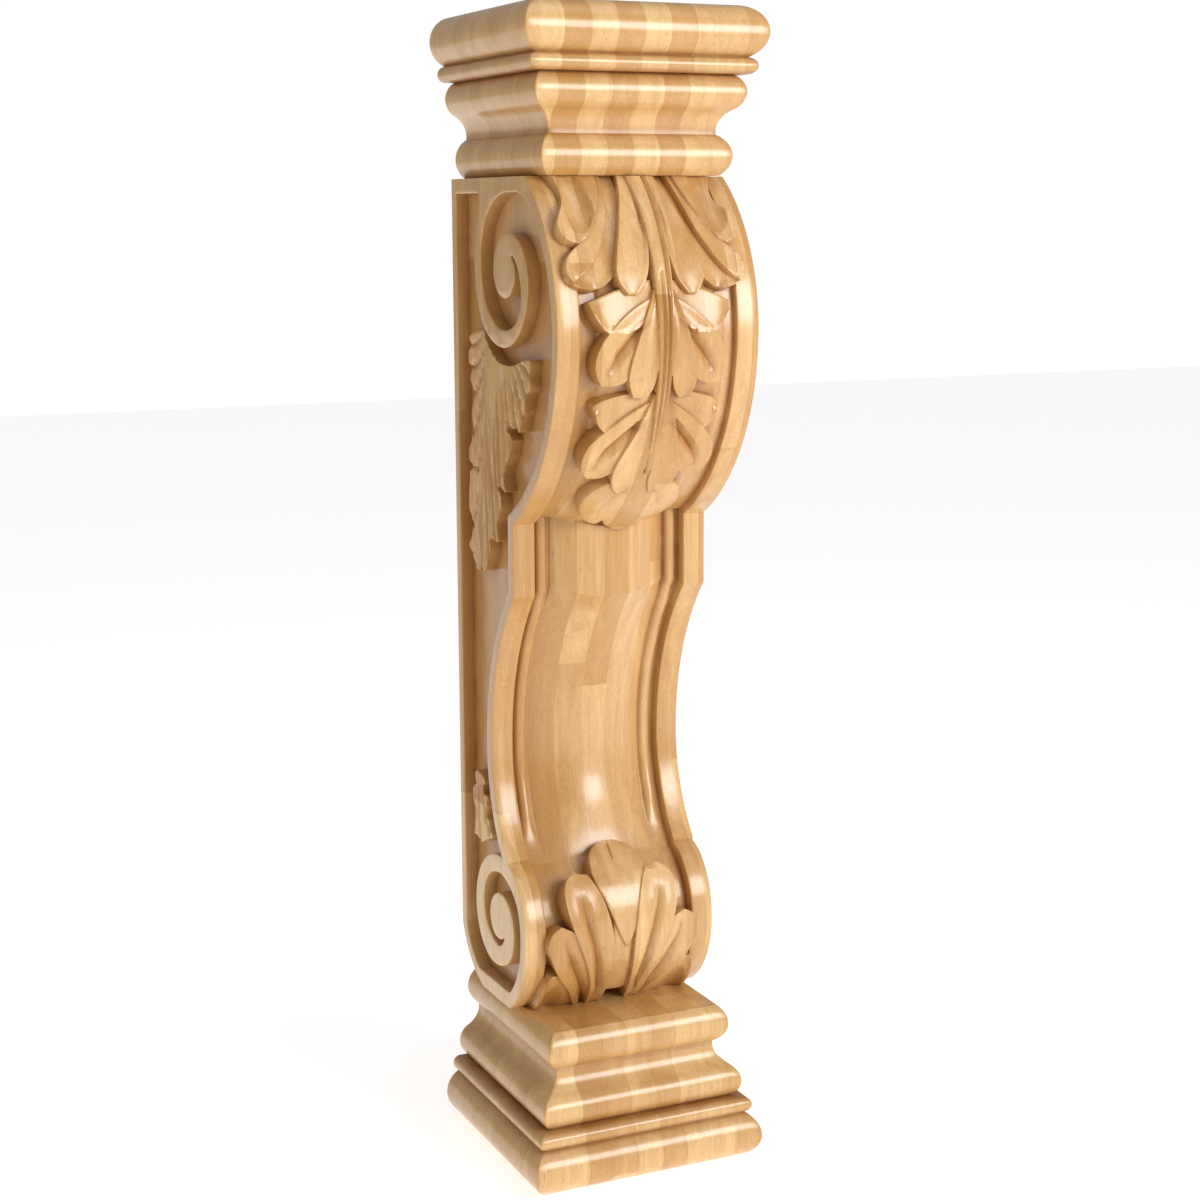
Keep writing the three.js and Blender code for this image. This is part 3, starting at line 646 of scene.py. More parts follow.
# Flutes of the side leaf and the sprig: path from foot to head, depth and half width
FLUTES = [
    ([(152, 640), (140, 647), (128, 650)], 1.6, 2.4),
    ([(144, 625), (134, 638), (124, 650)], 2.0, 3),
    ([(137, 608), (128, 625), (117, 648)], 2.2, 3), ([(126, 595), (118, 618), (110, 648)], 2.2, 3),
    ([(114, 580), (108, 610), (102, 650)], 2.2, 3), ([(100, 562), (98, 600), (94, 655)], 2.4, 3),
    ([(92, 548), (89, 590), (85, 655)], 2.4, 3), ([(88, 528), (80, 570), (76, 620)], 2.2, 3),
    ([(80, 508), (72, 550), (68, 600)], 2.2, 3), ([(66, 486), (62, 530), (60, 585)], 2.2, 3),
    ([(50, 479), (52, 520), (54, 575)], 2.4, 3), ([(33, 512), (42, 530), (50, 552)], 2.4, 3),
    ([(44, 559), (52, 572), (60, 600)], 2.6, 3), ([(38, 588), (48, 602), (60, 630)], 2.4, 3),
    ([(38, 618), (50, 628), (66, 650)], 2.4, 3), ([(39, 640), (50, 646), (66, 660)], 2.2, 3),
    ([(36, 657), (46, 660), (60, 668)], 1.8, 2.4),
    ([(39, 251), (38, 272), (37, 306)], 1.8, 2.4), ([(60, 262), (50, 276), (43, 304)], 1.8, 2.4),
    ([(27, 256), (31, 276), (33, 300)], 1.6, 2.2)]


def smooth_outline(outline, rounds=2):
    """A closed outline with its corners eased."""
    p = np.asarray(outline, float)
    for _ in range(rounds):
        q = np.roll(p, -1, axis=0)
        cut = np.empty((2 * len(p), 2))
        cut[0::2] = 0.8 * p + 0.2 * q
        cut[1::2] = 0.2 * p + 0.8 * q
        p = cut
    return p


def stile_path(foot, head):
    """Line down the middle of the front stile between two heights."""
    s = np.arange(-12, PROFILE[0][-1], 1.5)
    line = on_front(np.zeros(len(s)), s, -5.5)
    kept = (line[:, 2] > foot) & (line[:, 2] < head)
    return np.column_stack([BACK - line[kept, 1], line[kept, 2]])


def upper_volute():
    """Raised scroll at the head of the side, joined to the frame."""
    out = spiral(UPPER_EYE, UPPER_OUT, 135, 135, 765)
    back = spiral(UPPER_EYE, UPPER_IN, 405, 762, 405)
    return np.vstack([out, back, stile_path(766, 781)[::-1], [(55, 781)]])


def lower_volute():
    """Raised scroll at the foot of the side, joined to the frame."""
    out = spiral(LOWER_EYE, LOWER_OUT, 90, 90, 675)
    back = spiral(LOWER_EYE, LOWER_IN, 315, 671, 315)
    return np.vstack([out, back, stile_path(160, LEDGE_HEIGHT + 0.4)[::-1]])


def heel_reach(z):
    """Reach of the back face at a height: flat, then rounded in at the foot."""
    drop = HEEL_HEIGHT - np.maximum(z, BODY_BOTTOM)
    curve = HEEL_REACH - np.sqrt(np.maximum(HEEL_RADIUS ** 2 - drop ** 2, 0))
    return np.where(drop > 0, np.maximum(curve, 0), 0)


def panel_outline():
    """Outline of the sunk panel, set in from the edges of the side."""
    floor, head = BODY_BOTTOM + SILL, BODY_TOP - RAIL
    s = np.arange(-5, PROFILE[0][-1], 1.5)
    front = on_front(np.zeros(len(s)), s, -FRONT_STILE)
    front = np.column_stack([BACK - front[:, 1], front[:, 2]])
    front = front[(front[:, 1] < head) & (front[:, 1] > floor)]
    radius = HEEL_RADIUS - STILE
    low = math.acos(min(1, (HEEL_HEIGHT - floor) / radius))
    high = math.pi / 2 - math.acos((HEEL_REACH - STILE) / radius)
    a = np.linspace(low, high, 20)
    heel = np.column_stack([HEEL_REACH - radius * np.sin(a), HEEL_HEIGHT - radius * np.cos(a)])
    reach_at_floor = front[-1, 0] - 2
    return np.vstack([[(STILE, head)], front, [(reach_at_floor, floor)], heel])


def back_edge(edge):
    """Back edge of a side from foot to head, between the ends of its front edge."""
    z = np.concatenate([np.arange(edge[-1, 1], HEEL_HEIGHT, 2.5),
                        np.arange(HEEL_HEIGHT, edge[0, 1], 12)])
    return np.vstack([np.column_stack([heel_reach(z), z]), [(0, edge[0, 1])]])


def build_side(edge, back):
    """One side in plan: points, triangles, which of them are sunk, and the carved ornaments."""
    outline = np.vstack([edge, back])
    ornaments = [upper_volute(), lower_volute(), smooth_outline(SIDE_LEAF), smooth_outline(SPRIG)]
    steps = (1.6, 1.4, 1.5, 1.5)
    ornaments = [even_path(o, k, closed=True) for o, k in zip(ornaments, steps)]
    panel = even_path(panel_outline(), 2.0, closed=True)
    loops = [outline, panel] + ornaments
    free = [beside(loop, (0.45, -0.45, 1.0, -1.0), closed=True) for loop in loops[1:]]
    leaf = lattice(np.arange(26, 156, 2.0), np.arange(478, 671, 2.0))
    sprig = lattice(np.arange(26, 71, 2.0), np.arange(250, 310, 2.0))
    free += [lattice(np.arange(4, 210, 7.0), np.arange(130, 790, 7.0)),
             leaf[inside(leaf, ornaments[2])], sprig[inside(sprig, ornaments[3])]]
    for path, _, half in FLUTES:
        free.append(beside(even_path(smooth_path(path), 1.6), (0, 0.6, -0.6, half, -half)))
    free = np.vstack(free)
    free = free[depth_inside(free, outline) > 0.4]
    distance = np.min([near_path(free, loop, closed=True)[0] for loop in loops[1:]], axis=0)
    free = thin_out(free[distance > 0.3], 0.42)
    points, edges = [], []
    for loop in loops:
        first = sum(len(p) for p in points)
        edges += [(first + i, first + (i + 1) % len(loop)) for i in range(len(loop))]
        points.append(loop)
    plan, triangles = triangulate(np.vstack(points + [free]), edges)
    centre = plan[triangles].mean(axis=1)
    kept = inside(centre, outline)
    triangles, centre = triangles[kept], centre[kept]
    ornament = np.any([inside(centre, o) for o in ornaments], axis=0)
    return plan, triangles, inside(centre, panel) & ~ornament, ornaments


def wall_edges(triangles, sunk):
    """Edges between raised and sunk triangles, in the raised triangle's own order."""
    def sides(chosen):
        return [(t[i], t[(i + 1) % 3]) for t in triangles[chosen] for i in range(3)]
    low = set(sides(sunk))
    return [(a, b) for a, b in sides(~sunk) if (b, a) in low]


def side_surface(plan, triangles, sunk, ornaments):
    """Walls of the sunk parts, and depth and painted shade of raised and sunk copies of each
    point.
    """
    walls = wall_edges(triangles, sunk)
    segments = np.array([[plan[a], plan[b]] for a, b in walls])
    distance = np.full(len(plan), 50.0)
    for i in range(0, len(plan), 400):
        off = plan[i:i + 400, None, :] - segments[None, :, 0]
        run = segments[:, 1] - segments[:, 0]
        t = np.clip((off * run).sum(2) / np.maximum((run ** 2).sum(1), 1e-9), 0, 1)
        gap = off - t[..., None] * run
        distance[i:i + 400] = np.sqrt((gap ** 2).sum(2)).min(1)
    raised = 0.7 * np.clip(1 - distance / 1.0, 0, 1) ** 2
    leafy = np.maximum(depth_inside(plan, ornaments[2]), depth_inside(plan, ornaments[3]))
    crease = np.zeros(len(plan))
    for path, deep, half in FLUTES:
        away, along = near_path(plan, even_path(smooth_path(path), 1.6))
        crease = np.maximum(crease, FLUTE_DEPTH * deep * np.clip((1 - along) / 0.5, 0, 1)
                            * np.clip(1 - away / (FLUTE_WIDTH * half), 0, 1))
    on_leaf = np.clip((leafy + 0.5) / 1.0, 0, 1)
    tooling = 0.9 + 0.7 * np.sin(plan[:, 0] * 0.9 + plan[:, 1] * 0.06)
    raised = raised + on_leaf * (crease + tooling)
    # Painted shade in the flutes of the side leaf and the sprig
    shade_raised = 0.6 * on_leaf * crease / 3.2
    floor = 0.25 * np.sin(plan[:, 0] * 0.21) * np.sin(plan[:, 1] * 0.13)
    # Painted shade over the sunk panel floor, darkest beside its walls
    shade_floor = 0.3 + 0.6 * np.exp(-distance / PANEL_FADE)
    return walls, raised, floor, shade_raised, shade_floor


def assemble_body():
    """Points, triangles and painted shade of the whole body before its ends are cut level."""
    front, front_triangles, front_shade, rows = build_front()
    outer = np.full(len(rows), BODY_HALF)
    edge = on_front(outer, rows, plain_front(outer, rows))
    edge = np.column_stack([BACK - edge[:, 1], edge[:, 2]])
    back = back_edge(edge)
    plan, triangles, sunk, ornaments = build_side(edge, back)
    walls, raised, floor, *side_shade = side_surface(plan, triangles, sunk, ornaments)
    area = np.cross(front[front_triangles[:, 1]] - front[front_triangles[:, 0]],
                    front[front_triangles[:, 2]] - front[front_triangles[:, 0]])
    if area[:, 1].sum() > 0:
        front_triangles = front_triangles[:, ::-1]
    points, faces, shade_and_knots = [front], [front_triangles], [front_shade]
    count = len(front)
    a, b = np.array(walls).T
    wall = np.vstack([np.column_stack([b, a, a + len(plan)]),
                      np.column_stack([b, a + len(plan), b + len(plan)])])
    one_side = np.vstack([triangles[~sunk], triangles[sunk] + len(plan), wall])
    for side in (-1, 1):
        made = one_side[:, ::-1] if side < 0 else one_side
        for face in (BODY_HALF - raised, PANEL_FLOOR + floor):
            points.append(np.column_stack([side * face, BACK - plan[:, 0], plan[:, 1]]))
        shade_and_knots += side_shade
        faces.append(made[:, ::-1] + count)
        count += 2 * len(plan)
    z = back[:, 1]
    strip = [np.column_stack([np.full(len(z), side * BODY_HALF), BACK - back[:, 0], z])
             for side in (-1, 1)]
    i = np.arange(len(z) - 1)
    left, right = i + count, i + count + len(z)
    faces += [np.column_stack([right, right + 1, left + 1]),
              np.column_stack([right, left + 1, left])]
    points += strip
    shade_and_knots += [np.zeros(len(z))] * 2
    return np.vstack(points), np.vstack(faces), np.concatenate(shade_and_knots)


# Mesh making

BODY_CREASE, BLOCK_CREASE = 35, 30  # edges that turn by more degrees than this stay sharp


def mesh_object(name, points, faces, shade_and_knots, crease_angle):
    """A mesh object in metres with a painted shade mask, smooth but for its sharp edges."""
    mesh = bpy.data.meshes.new(name)
    used = np.unique(faces)
    index = np.full(len(points), -1)
    index[used] = np.arange(len(used))
    mesh.from_pydata((points[used] * MM).tolist(), [], index[faces].tolist())
    # The painted shade mask is kept as a point attribute for the material
    attribute = mesh.attributes.new("shade_and_knots", "FLOAT", "POINT")
    attribute.data.foreach_set("value", np.asarray(shade_and_knots, np.float32)[used])
    finish_mesh(mesh, crease_angle)
    piece = bpy.data.objects.new(name, mesh)
    bpy.context.scene.collection.objects.link(piece)
    return piece


def smooth_mesh(mesh, crease_angle):
    """Smooth shading, but for edges sharper than the angle."""
    mesh.shade_smooth()
    mesh.set_sharp_from_angle(angle=math.radians(crease_angle))


def finish_mesh(mesh, crease_angle):
    """Joins doubled points, cleans the mesh and sets its smooth and sharp edges."""
    work = bmesh.new()
    work.from_mesh(mesh)
    bmesh.ops.remove_doubles(work, verts=work.verts, dist=0.00002)
    bmesh.ops.dissolve_degenerate(work, edges=work.edges, dist=0.00001)
    bmesh.ops.recalc_face_normals(work, faces=work.faces)
    work.to_mesh(mesh)
    work.free()
    smooth_mesh(mesh, crease_angle)


def cut_level(piece, height, upwards):
    """Cuts the piece off flat at a height and closes the cut."""
    work = bmesh.new()
    work.from_mesh(piece.data)
    normal = Vector((0, 0, 1 if upwards else -1))
    parts = list(work.verts) + list(work.edges) + list(work.faces)
    level = height * MM
    bmesh.ops.bisect_plane(work, geom=parts, plane_co=Vector((0, 0, level)), plane_no=normal,
                           clear_outer=True, dist=1e-6)
    rim = [e for e in work.edges
           if e.is_boundary and all(abs(v.co.z - level) < 2e-6 for v in e.verts)]
    bmesh.ops.triangle_fill(work, edges=rim, use_beauty=True, normal=normal)
    bmesh.ops.recalc_face_normals(work, faces=work.faces)
    work.to_mesh(piece.data)
    work.free()
    smooth_mesh(piece.data, BODY_CREASE)


def place(piece, node, material):
    """Fits a finished piece over its node, with its material."""
    piece.data.materials.append(material)
    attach(piece, "root")
    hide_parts(node)


# Moulded blocks. Each round is the inset and height of its centre and its radius. The cove is
# the place where it ends upright, and it meets the ovolo without a corner.

BULLNOSE, ASTRAGAL = (20, 20, 20), (12.4, 44.8, 6.2)
OVOLO, TORUS = (27.4, 63.9, 14.9), (38.6, 111.3, 18.1)
COVE = 30.2, 93.1
# Heights of the creases between the rounds, which get painted shade, and how fast it fades from
# them
MOULDING_CREASES, MOULDING_FADE = (38.3, 51.0, 94.0), 2.2
CORNER_EASE = 1.6


def moulding():
    """Moulding from the block's outer end to the seam: inset, height and painted shade."""
    out = []

    def run(round_part, first, last, count):
        inset, height, radius = round_part
        for a in np.linspace(first, last, count):
            out.append((inset - radius * math.cos(a), height + radius * math.sin(a)))

    x, z, radius = OVOLO
    cove_inset, cove_height = COVE
    reach, fall = x - cove_inset, cove_height - z
    cove = (reach ** 2 + fall ** 2 - radius ** 2) / (2 * (radius - reach))
    meet = math.atan2(fall, x - (cove_inset - cove))
    run(BULLNOSE, -math.pi / 2, math.asin(18 / 20), 30)
    run(ASTRAGAL, -1.45, 1.45, 16)
    run(OVOLO, math.asin((51 - z) / radius), meet, 18)
    for a in np.linspace(meet, 0, 14)[1:]:
        out.append((cove_inset - cove + cove * math.cos(a), cove_height - cove * math.sin(a)))
    x, z, radius = TORUS
    run(TORUS, -math.acos((x - cove_inset) / radius), math.asin(14.8 / radius), 24)
    out[-1] = (out[-1][0], BLOCK_HEIGHT)
    path = np.array(out)
    # Painted shade along the creases between the rounds
    shade_and_knots = np.zeros(len(path))
    for crease in MOULDING_CREASES:
        shade_and_knots = np.maximum(shade_and_knots, np.exp(-np.abs(path[:, 1] - crease) / MOULDING_FADE))
    return path, shade_and_knots


def block_mesh(name, upside_down):
    """One moulded block: the moulding runs round three sides and the back is flat."""
    path, path_shade = moulding()
    corner = [(CORNER_EASE * (1 - math.cos(a)), CORNER_EASE * (1 - math.sin(a)))
              for a in np.linspace(0, math.pi / 2, 5)]
    points, shade_and_knots = [], []
    for (inset, height), mask in zip(path, path_shade):
        x, front = BLOCK_HALF - inset, -BLOCK_FRONT + inset
        plan = [(-x, BACK), (-x, BACK - 0.8)]
        plan += [(-x + px, front + py) for px, py in corner]
        plan += [(px, front) for px in np.linspace(-x + 8, x - 8, 7)]
        plan += [(-px, py) for px, py in plan[6::-1]]
        z = HEIGHT - height if upside_down else height
        points += [(px, py, z) for px, py in plan]
        shade_and_knots += [mask] * len(plan)
    width = len(points) // len(path)
    faces = []
    for i in range(len(path) - 1):
        for j in range(width):
            a, b = i * width + j, i * width + (j + 1) % width
            faces += [(a, b, b + width), (a, b + width, a + width)]
    last = (len(path) - 1) * width
    for j in range(1, width - 1):
        faces += [(0, j + 1, j), (last, last + j, last + j + 1)]
    return mesh_object(name, np.array(points), np.array(faces), np.array(shade_and_knots), BLOCK_CREASE)


# Materials


def socket(group, name, kind, into, value=None):
    """A named input or output of a node group."""
    made = group.interface.new_socket(name=name, in_out=into, socket_type=kind)
    if value is not None:
        made.default_value = value
    return made


class Wiring:
    """Short hand for adding and joining nodes in one tree."""

    def __init__(self, tree):
        self.tree = tree

    def add(self, kind, **values):
        """A new node with its settings."""
        node = self.tree.nodes.new(kind)
        for key, value in values.items():
            setattr(node, key, value)
        return node

    def put(self, value, target):
        """Joins a socket to the target, or sets the target to a number or colour."""
        if isinstance(value, bpy.types.NodeSocket):
            self.tree.links.new(value, target)
        elif value is not None:
            target.default_value = value

    def maths(self, operation, a, b=None, c=None, clamp=False):
        """Sum, product or other operation on up to three values."""
        node = self.add("ShaderNodeMath", operation=operation, use_clamp=clamp)
        for i, value in enumerate((a, b, c)):
            self.put(value, node.inputs[i])
        return node.outputs[0]

    def blend(self, factor, a, b, how="MIX"):
        """Colour blended from a to b by the factor."""
        node = self.add("ShaderNodeMix", data_type="RGBA", blend_type=how)
        self.put(factor, node.inputs[0])
        self.put(a, node.inputs[6])
        self.put(b, node.inputs[7])
        return node.outputs[2]

    def spread(self, value, low, high, to_low=0.0, to_high=1.0):
        """Value eased from one range into another."""
        node = self.add("ShaderNodeMapRange", interpolation_type="SMOOTHSTEP")
        for i, item in enumerate((value, low, high, to_low, to_high)):
            self.put(item, node.inputs[i])
        return node.outputs[0]

    def noise(self, vector, scale, detail=3.0, rough=0.55, distortion=0.0):
        """Soft random variation in space."""
        node = self.add("ShaderNodeTexNoise")
        self.put(vector, node.inputs["Vector"])
        node.inputs["Scale"].default_value = scale
        node.inputs["Detail"].default_value = detail
        node.inputs["Roughness"].default_value = rough
        node.inputs["Distortion"].default_value = distortion
        return node.outputs["Fac"]

    def vector(self, operation, a, b):
        """Operation on two vectors."""
        node = self.add("ShaderNodeVectorMath", operation=operation)
        self.put(a, node.inputs[0])
        self.put(b, node.inputs[1])
        return node.outputs[0]


MITRE_DEPTH = 0.045  # metres in from a block's sides where its strips run round the corner
TURNED_STRIPS, STAGGER, GRAIN_JUMP = 57.0, 7.3, 3.7  # keep the pieces' random values apart
GLUE_EDGE = 0.478  # share of a strip's width, out from its middle, where its glue line starts


def strips_group():
    """Glued strips, mitred round a block's sides: tone, hue, glue lines and grain position."""
    group = bpy.data.node_groups.new("glued_strips", "ShaderNodeTree")
    socket(group, "Position", "NodeSocketVector", "INPUT")
    for name, value in (("Strip Width", 0.021), ("Strip Shift", 0.0), ("Piece Length", 0.32),
                        ("Seed", 0.0), ("Half Width", 10.0), ("Front", 0.0), ("Side Calm", 0.65)):
        socket(group, name, "NodeSocketFloat", "INPUT", value)
    for name in ("Tone", "Hue", "Glue Line"):
        socket(group, name, "NodeSocketFloat", "OUTPUT")
    socket(group, "Grain Position", "NodeSocketVector", "OUTPUT")
    w = Wiring(group)
    given = w.add("NodeGroupInput").outputs
    result = w.add("NodeGroupOutput").inputs
    split = w.add("ShaderNodeSeparateXYZ")
    w.put(given["Position"], split.inputs[0])
    from_side = w.maths("SUBTRACT", given["Half Width"], w.maths("ABSOLUTE", split.outputs["X"]))
    from_front = w.maths("SUBTRACT", split.outputs["Y"], given["Front"])
    mitred = w.maths("LESS_THAN", from_side, w.maths("MINIMUM", from_front, MITRE_DEPTH))
    turned = w.maths("SUBTRACT", split.outputs["Y"], split.outputs["X"])
    across = w.maths("MULTIPLY_ADD", mitred, turned, split.outputs["X"])
    across = w.maths("DIVIDE", w.maths("ADD", across, given["Strip Shift"]), given["Strip Width"])
    strip = w.maths("MULTIPLY_ADD", mitred, TURNED_STRIPS, w.maths("FLOOR", across))

    def own_random(dimensions, *marks):
        """Random value and colour that belong to the marks."""
        made = w.add("ShaderNodeTexWhiteNoise", noise_dimensions=dimensions)
        joined = w.add("ShaderNodeCombineXYZ")
        for i, mark in enumerate(marks):
            w.put(mark, joined.inputs[i])
        w.put(joined.outputs[0], made.inputs["Vector"])
        return made.outputs

    stagger = own_random("2D", strip, given["Seed"])["Value"]
    down = w.maths("ADD", w.maths("DIVIDE", split.outputs["Z"], given["Piece Length"]),
                   w.maths("MULTIPLY", stagger, STAGGER))
    own = own_random("3D", strip, w.maths("FLOOR", down), given["Seed"])
    shift = w.vector("SCALE", own["Color"], None)
    shift.node.inputs["Scale"].default_value = GRAIN_JUMP
    w.put(w.vector("ADD", given["Position"], shift), result["Grain Position"])
    parts = w.add("ShaderNodeSeparateColor")
    w.put(own["Color"], parts.inputs[0])
    cloudy = w.vector("MULTIPLY", given["Position"], (55.0, 55.0, 9.0))
    satin = w.noise(cloudy, 1.0, 2.0, 0.5, 0.6)
    tone = w.maths("MULTIPLY_ADD", w.maths("SUBTRACT", satin, 0.5), 1.1, parts.outputs[0])
    calm = w.maths("MULTIPLY", mitred, given["Side Calm"])
    middle = w.maths("SUBTRACT", 0.5, tone)
    w.put(w.maths("MULTIPLY_ADD", calm, middle, tone, clamp=True), result["Tone"])
    w.put(parts.outputs[1], result["Hue"])
    near = w.maths("ABSOLUTE", w.maths("SUBTRACT", w.maths("FRACT", across), 0.5))
    w.put(w.spread(near, GLUE_EDGE, 0.5), result["Glue Line"])
    return group


def grain_group():
    """Straight-grained light hardwood: fibres, broad figure, flecks and small knots."""
    group = bpy.data.node_groups.new("hardwood_grain", "ShaderNodeTree")
    socket(group, "Position", "NodeSocketVector", "INPUT")
    for name in ("Fibre", "Figure", "Fleck", "Knot"):
        socket(group, name, "NodeSocketFloat", "OUTPUT")
    w = Wiring(group)
    given = w.add("NodeGroupInput").outputs
    result = w.add("NodeGroupOutput").inputs
    fine = w.vector("MULTIPLY", given["Position"], (900.0, 900.0, 22.0))
    w.put(w.noise(fine, 1.0, 3.0, 0.6), result["Fibre"])
    broad = w.vector("MULTIPLY", given["Position"], (70.0, 45.0, 3.2))
    w.put(w.noise(broad, 1.0, 4.0, 0.6, 0.9), result["Figure"])
    spots = w.vector("MULTIPLY", given["Position"], (620.0, 620.0, 90.0))
    w.put(w.spread(w.noise(spots, 1.0, 1.0, 0.4), 0.69, 0.78), result["Fleck"])
    cell = w.add("ShaderNodeTexVoronoi")
    w.put(w.vector("MULTIPLY", given["Position"], (14.0, 14.0, 7.0)), cell.inputs["Vector"])
    cell.inputs["Scale"].default_value = 1.0
    chosen = w.add("ShaderNodeSeparateColor")
    w.put(cell.outputs["Color"], chosen.inputs[0])
    rare = w.maths("GREATER_THAN", chosen.outputs[0], 0.86)
    spot = w.spread(cell.outputs["Distance"], 0.09, 0.02)
    w.put(w.maths("MULTIPLY", spot, rare), result["Knot"])
    return group


def hardwood(name, finish, groups, shift, seed, mitre=None):
    """Clear-varnished light hardwood, glued from strips, with painted shade darkening its carved
    hollows.
    """
    material = bpy.data.materials.new(name)
    material.use_nodes = True
    tree = material.node_tree
    tree.nodes.clear()
    w = Wiring(tree)
    position = w.add("ShaderNodeTexCoord").outputs["Object"]
    strips = w.add("ShaderNodeGroup", node_tree=groups["strips"])
    w.put(position, strips.inputs["Position"])
    strips.inputs["Strip Width"].default_value = finish.strip_width
    strips.inputs["Strip Shift"].default_value = shift
    strips.inputs["Seed"].default_value = seed
    if mitre:
        strips.inputs["Half Width"].default_value, strips.inputs["Front"].default_value = mitre
    grain = w.add("ShaderNodeGroup", node_tree=groups["grain"])
    w.put(strips.outputs["Grain Position"], grain.inputs["Position"])
    # The last colour darkens the flecks and knots, and is also the painted shade in hollows
    pale, honey, rosy, dark, shade_and_knots = ((*colour, 1) for colour in (
        finish.pale, finish.honey, finish.rosy, finish.grain, finish.shade_and_knots))

    def layer(under, mask, share, colour):
        """The colour laid over the one under it, where the mask is light."""
        return w.blend(w.maths("MULTIPLY", mask, share), under, colour)

    base = w.blend(w.spread(strips.outputs["Tone"], 0.1, 0.9), pale, honey)
    base = layer(base, strips.outputs["Hue"], 0.4, rosy)
    base = layer(base, w.spread(grain.outputs["Figure"], 0.35, 0.72), 0.42, dark)
    fibre = w.spread(grain.outputs["Fibre"], 0.3, 0.75, 0.90, 1.07)
    shade = w.add("ShaderNodeCombineColor")
    for i in range(3):
        w.put(fibre, shade.inputs[i])
    base = w.blend(1.0, base, shade.outputs[0], "MULTIPLY")
    base = layer(base, strips.outputs["Glue Line"], 0.25, dark)
    base = layer(base, grain.outputs["Fleck"], 0.45, shade_and_knots)
    base = layer(base, grain.outputs["Knot"], 0.6, shade_and_knots)
    # Painted shade: the mesh's mask darkens hollows, creases and recesses in soft patches
    hollow = w.add("ShaderNodeAttribute", attribute_name="shade_and_knots").outputs["Fac"]
    patchy = w.spread(w.noise(position, 45.0, 3.0), 0.3, 0.7, 0.55, 0.95)
    base = layer(base, hollow, patchy, shade_and_knots)
    shader = w.add("ShaderNodeBsdfPrincipled")
    w.put(base, shader.inputs["Base Color"])
    rough = w.maths("MULTIPLY_ADD", grain.outputs["Fibre"], 0.14, finish.roughness - 0.07)
    w.put(w.maths("MULTIPLY_ADD", hollow, 0.15, rough), shader.inputs["Roughness"])
    shader.inputs["Coat Weight"].default_value = 0.5
    shader.inputs["Coat Roughness"].default_value = 0.17
    ripple = w.noise(position, 55.0, 2.0)
    relief = w.maths("MULTIPLY_ADD", grain.outputs["Fibre"], 0.12, ripple)
    bump = w.add("ShaderNodeBump")
    bump.inputs["Strength"].default_value = 0.35
    bump.inputs["Distance"].default_value = 0.0009
    w.put(relief, bump.inputs["Height"])
    w.put(bump.outputs[0], shader.inputs["Normal"])
    out = w.add("ShaderNodeOutputMaterial")
    w.put(shader.outputs[0], out.inputs[0])
    return material


def wood_groups():
    """The shared strip and grain groups, made once."""
    have = bpy.data.node_groups
    return {"strips": have.get("glued_strips") or strips_group(),
            "grain": have.get("hardwood_grain") or grain_group()}


def pale_floor():
    """Matt pale studio floor."""
    material = bpy.data.materials.new("studio_floor")
    material.use_nodes = True
    shader = material.node_tree.nodes["Principled BSDF"]
    shader.inputs["Base Color"].default_value = (0.86, 0.86, 0.86, 1)
    shader.inputs["Roughness"].default_value = 0.9
    shader.inputs["Emission Color"].default_value = (1, 1, 1, 1)
    shader.inputs["Emission Strength"].default_value = 0.66
    return material


# Settings


class CorbelFinish(bpy.types.PropertyGroup):
    """Colours and gloss of the varnished wood."""

    pale: bpy.props.FloatVectorProperty(
        name="Pale Strip", description="Colour of the lightest strips", subtype="COLOR",
        size=3, min=0, max=1, default=(0.77, 0.495, 0.205))
    honey: bpy.props.FloatVectorProperty(
        name="Honey Strip", description="Colour of the deepest strips", subtype="COLOR",
        size=3, min=0, max=1, default=(0.54, 0.285, 0.076))
    rosy: bpy.props.FloatVectorProperty(
        name="Rosy Strip", description="Colour that some strips lean to", subtype="COLOR",
        size=3, min=0, max=1, default=(0.66, 0.36, 0.15))
    grain: bpy.props.FloatVectorProperty(
        name="Grain", description="Colour of the figure and the glue lines", subtype="COLOR",
        size=3, min=0, max=1, default=(0.46, 0.215, 0.062))
    # Dark colour of the painted shade in hollows and creases, also used for the wood's flecks and
    # knots
    shade_and_knots: bpy.props.FloatVectorProperty(
        name="Shade and Knot Colour", description="Colour of the varnish that gathers in hollows",
        subtype="COLOR", size=3, min=0, max=1, default=(0.34, 0.135, 0.032))
    roughness: bpy.props.FloatProperty(
        name="Varnish Roughness", description="Roughness of the varnished surface",
        subtype="FACTOR", min=0, max=1, default=0.34)
    strip_width: bpy.props.FloatProperty(
        name="Strip Width", description="Width of one glued strip", unit="LENGTH",
        min=0.005, max=0.1, default=0.0215)


class CorbelStage(bpy.types.PropertyGroup):
    """Floor, light and camera."""

    floor_size: bpy.props.FloatProperty(
        name="Floor Size", description="Width of the pale floor", unit="LENGTH",
        min=1, default=14.0)
    light_power: bpy.props.FloatProperty(
        name="Light Power", description="Power in watts that the soft lights take their shares of",
        min=0, default=29.0)
    surround: bpy.props.FloatProperty(
        name="Surround", description="Strength of the light from all round", min=0, default=0.31)
    focal_length: bpy.props.FloatProperty(
        name="Focal Length", description="Camera lens in millimetres", min=10, default=64.920)


# Operators


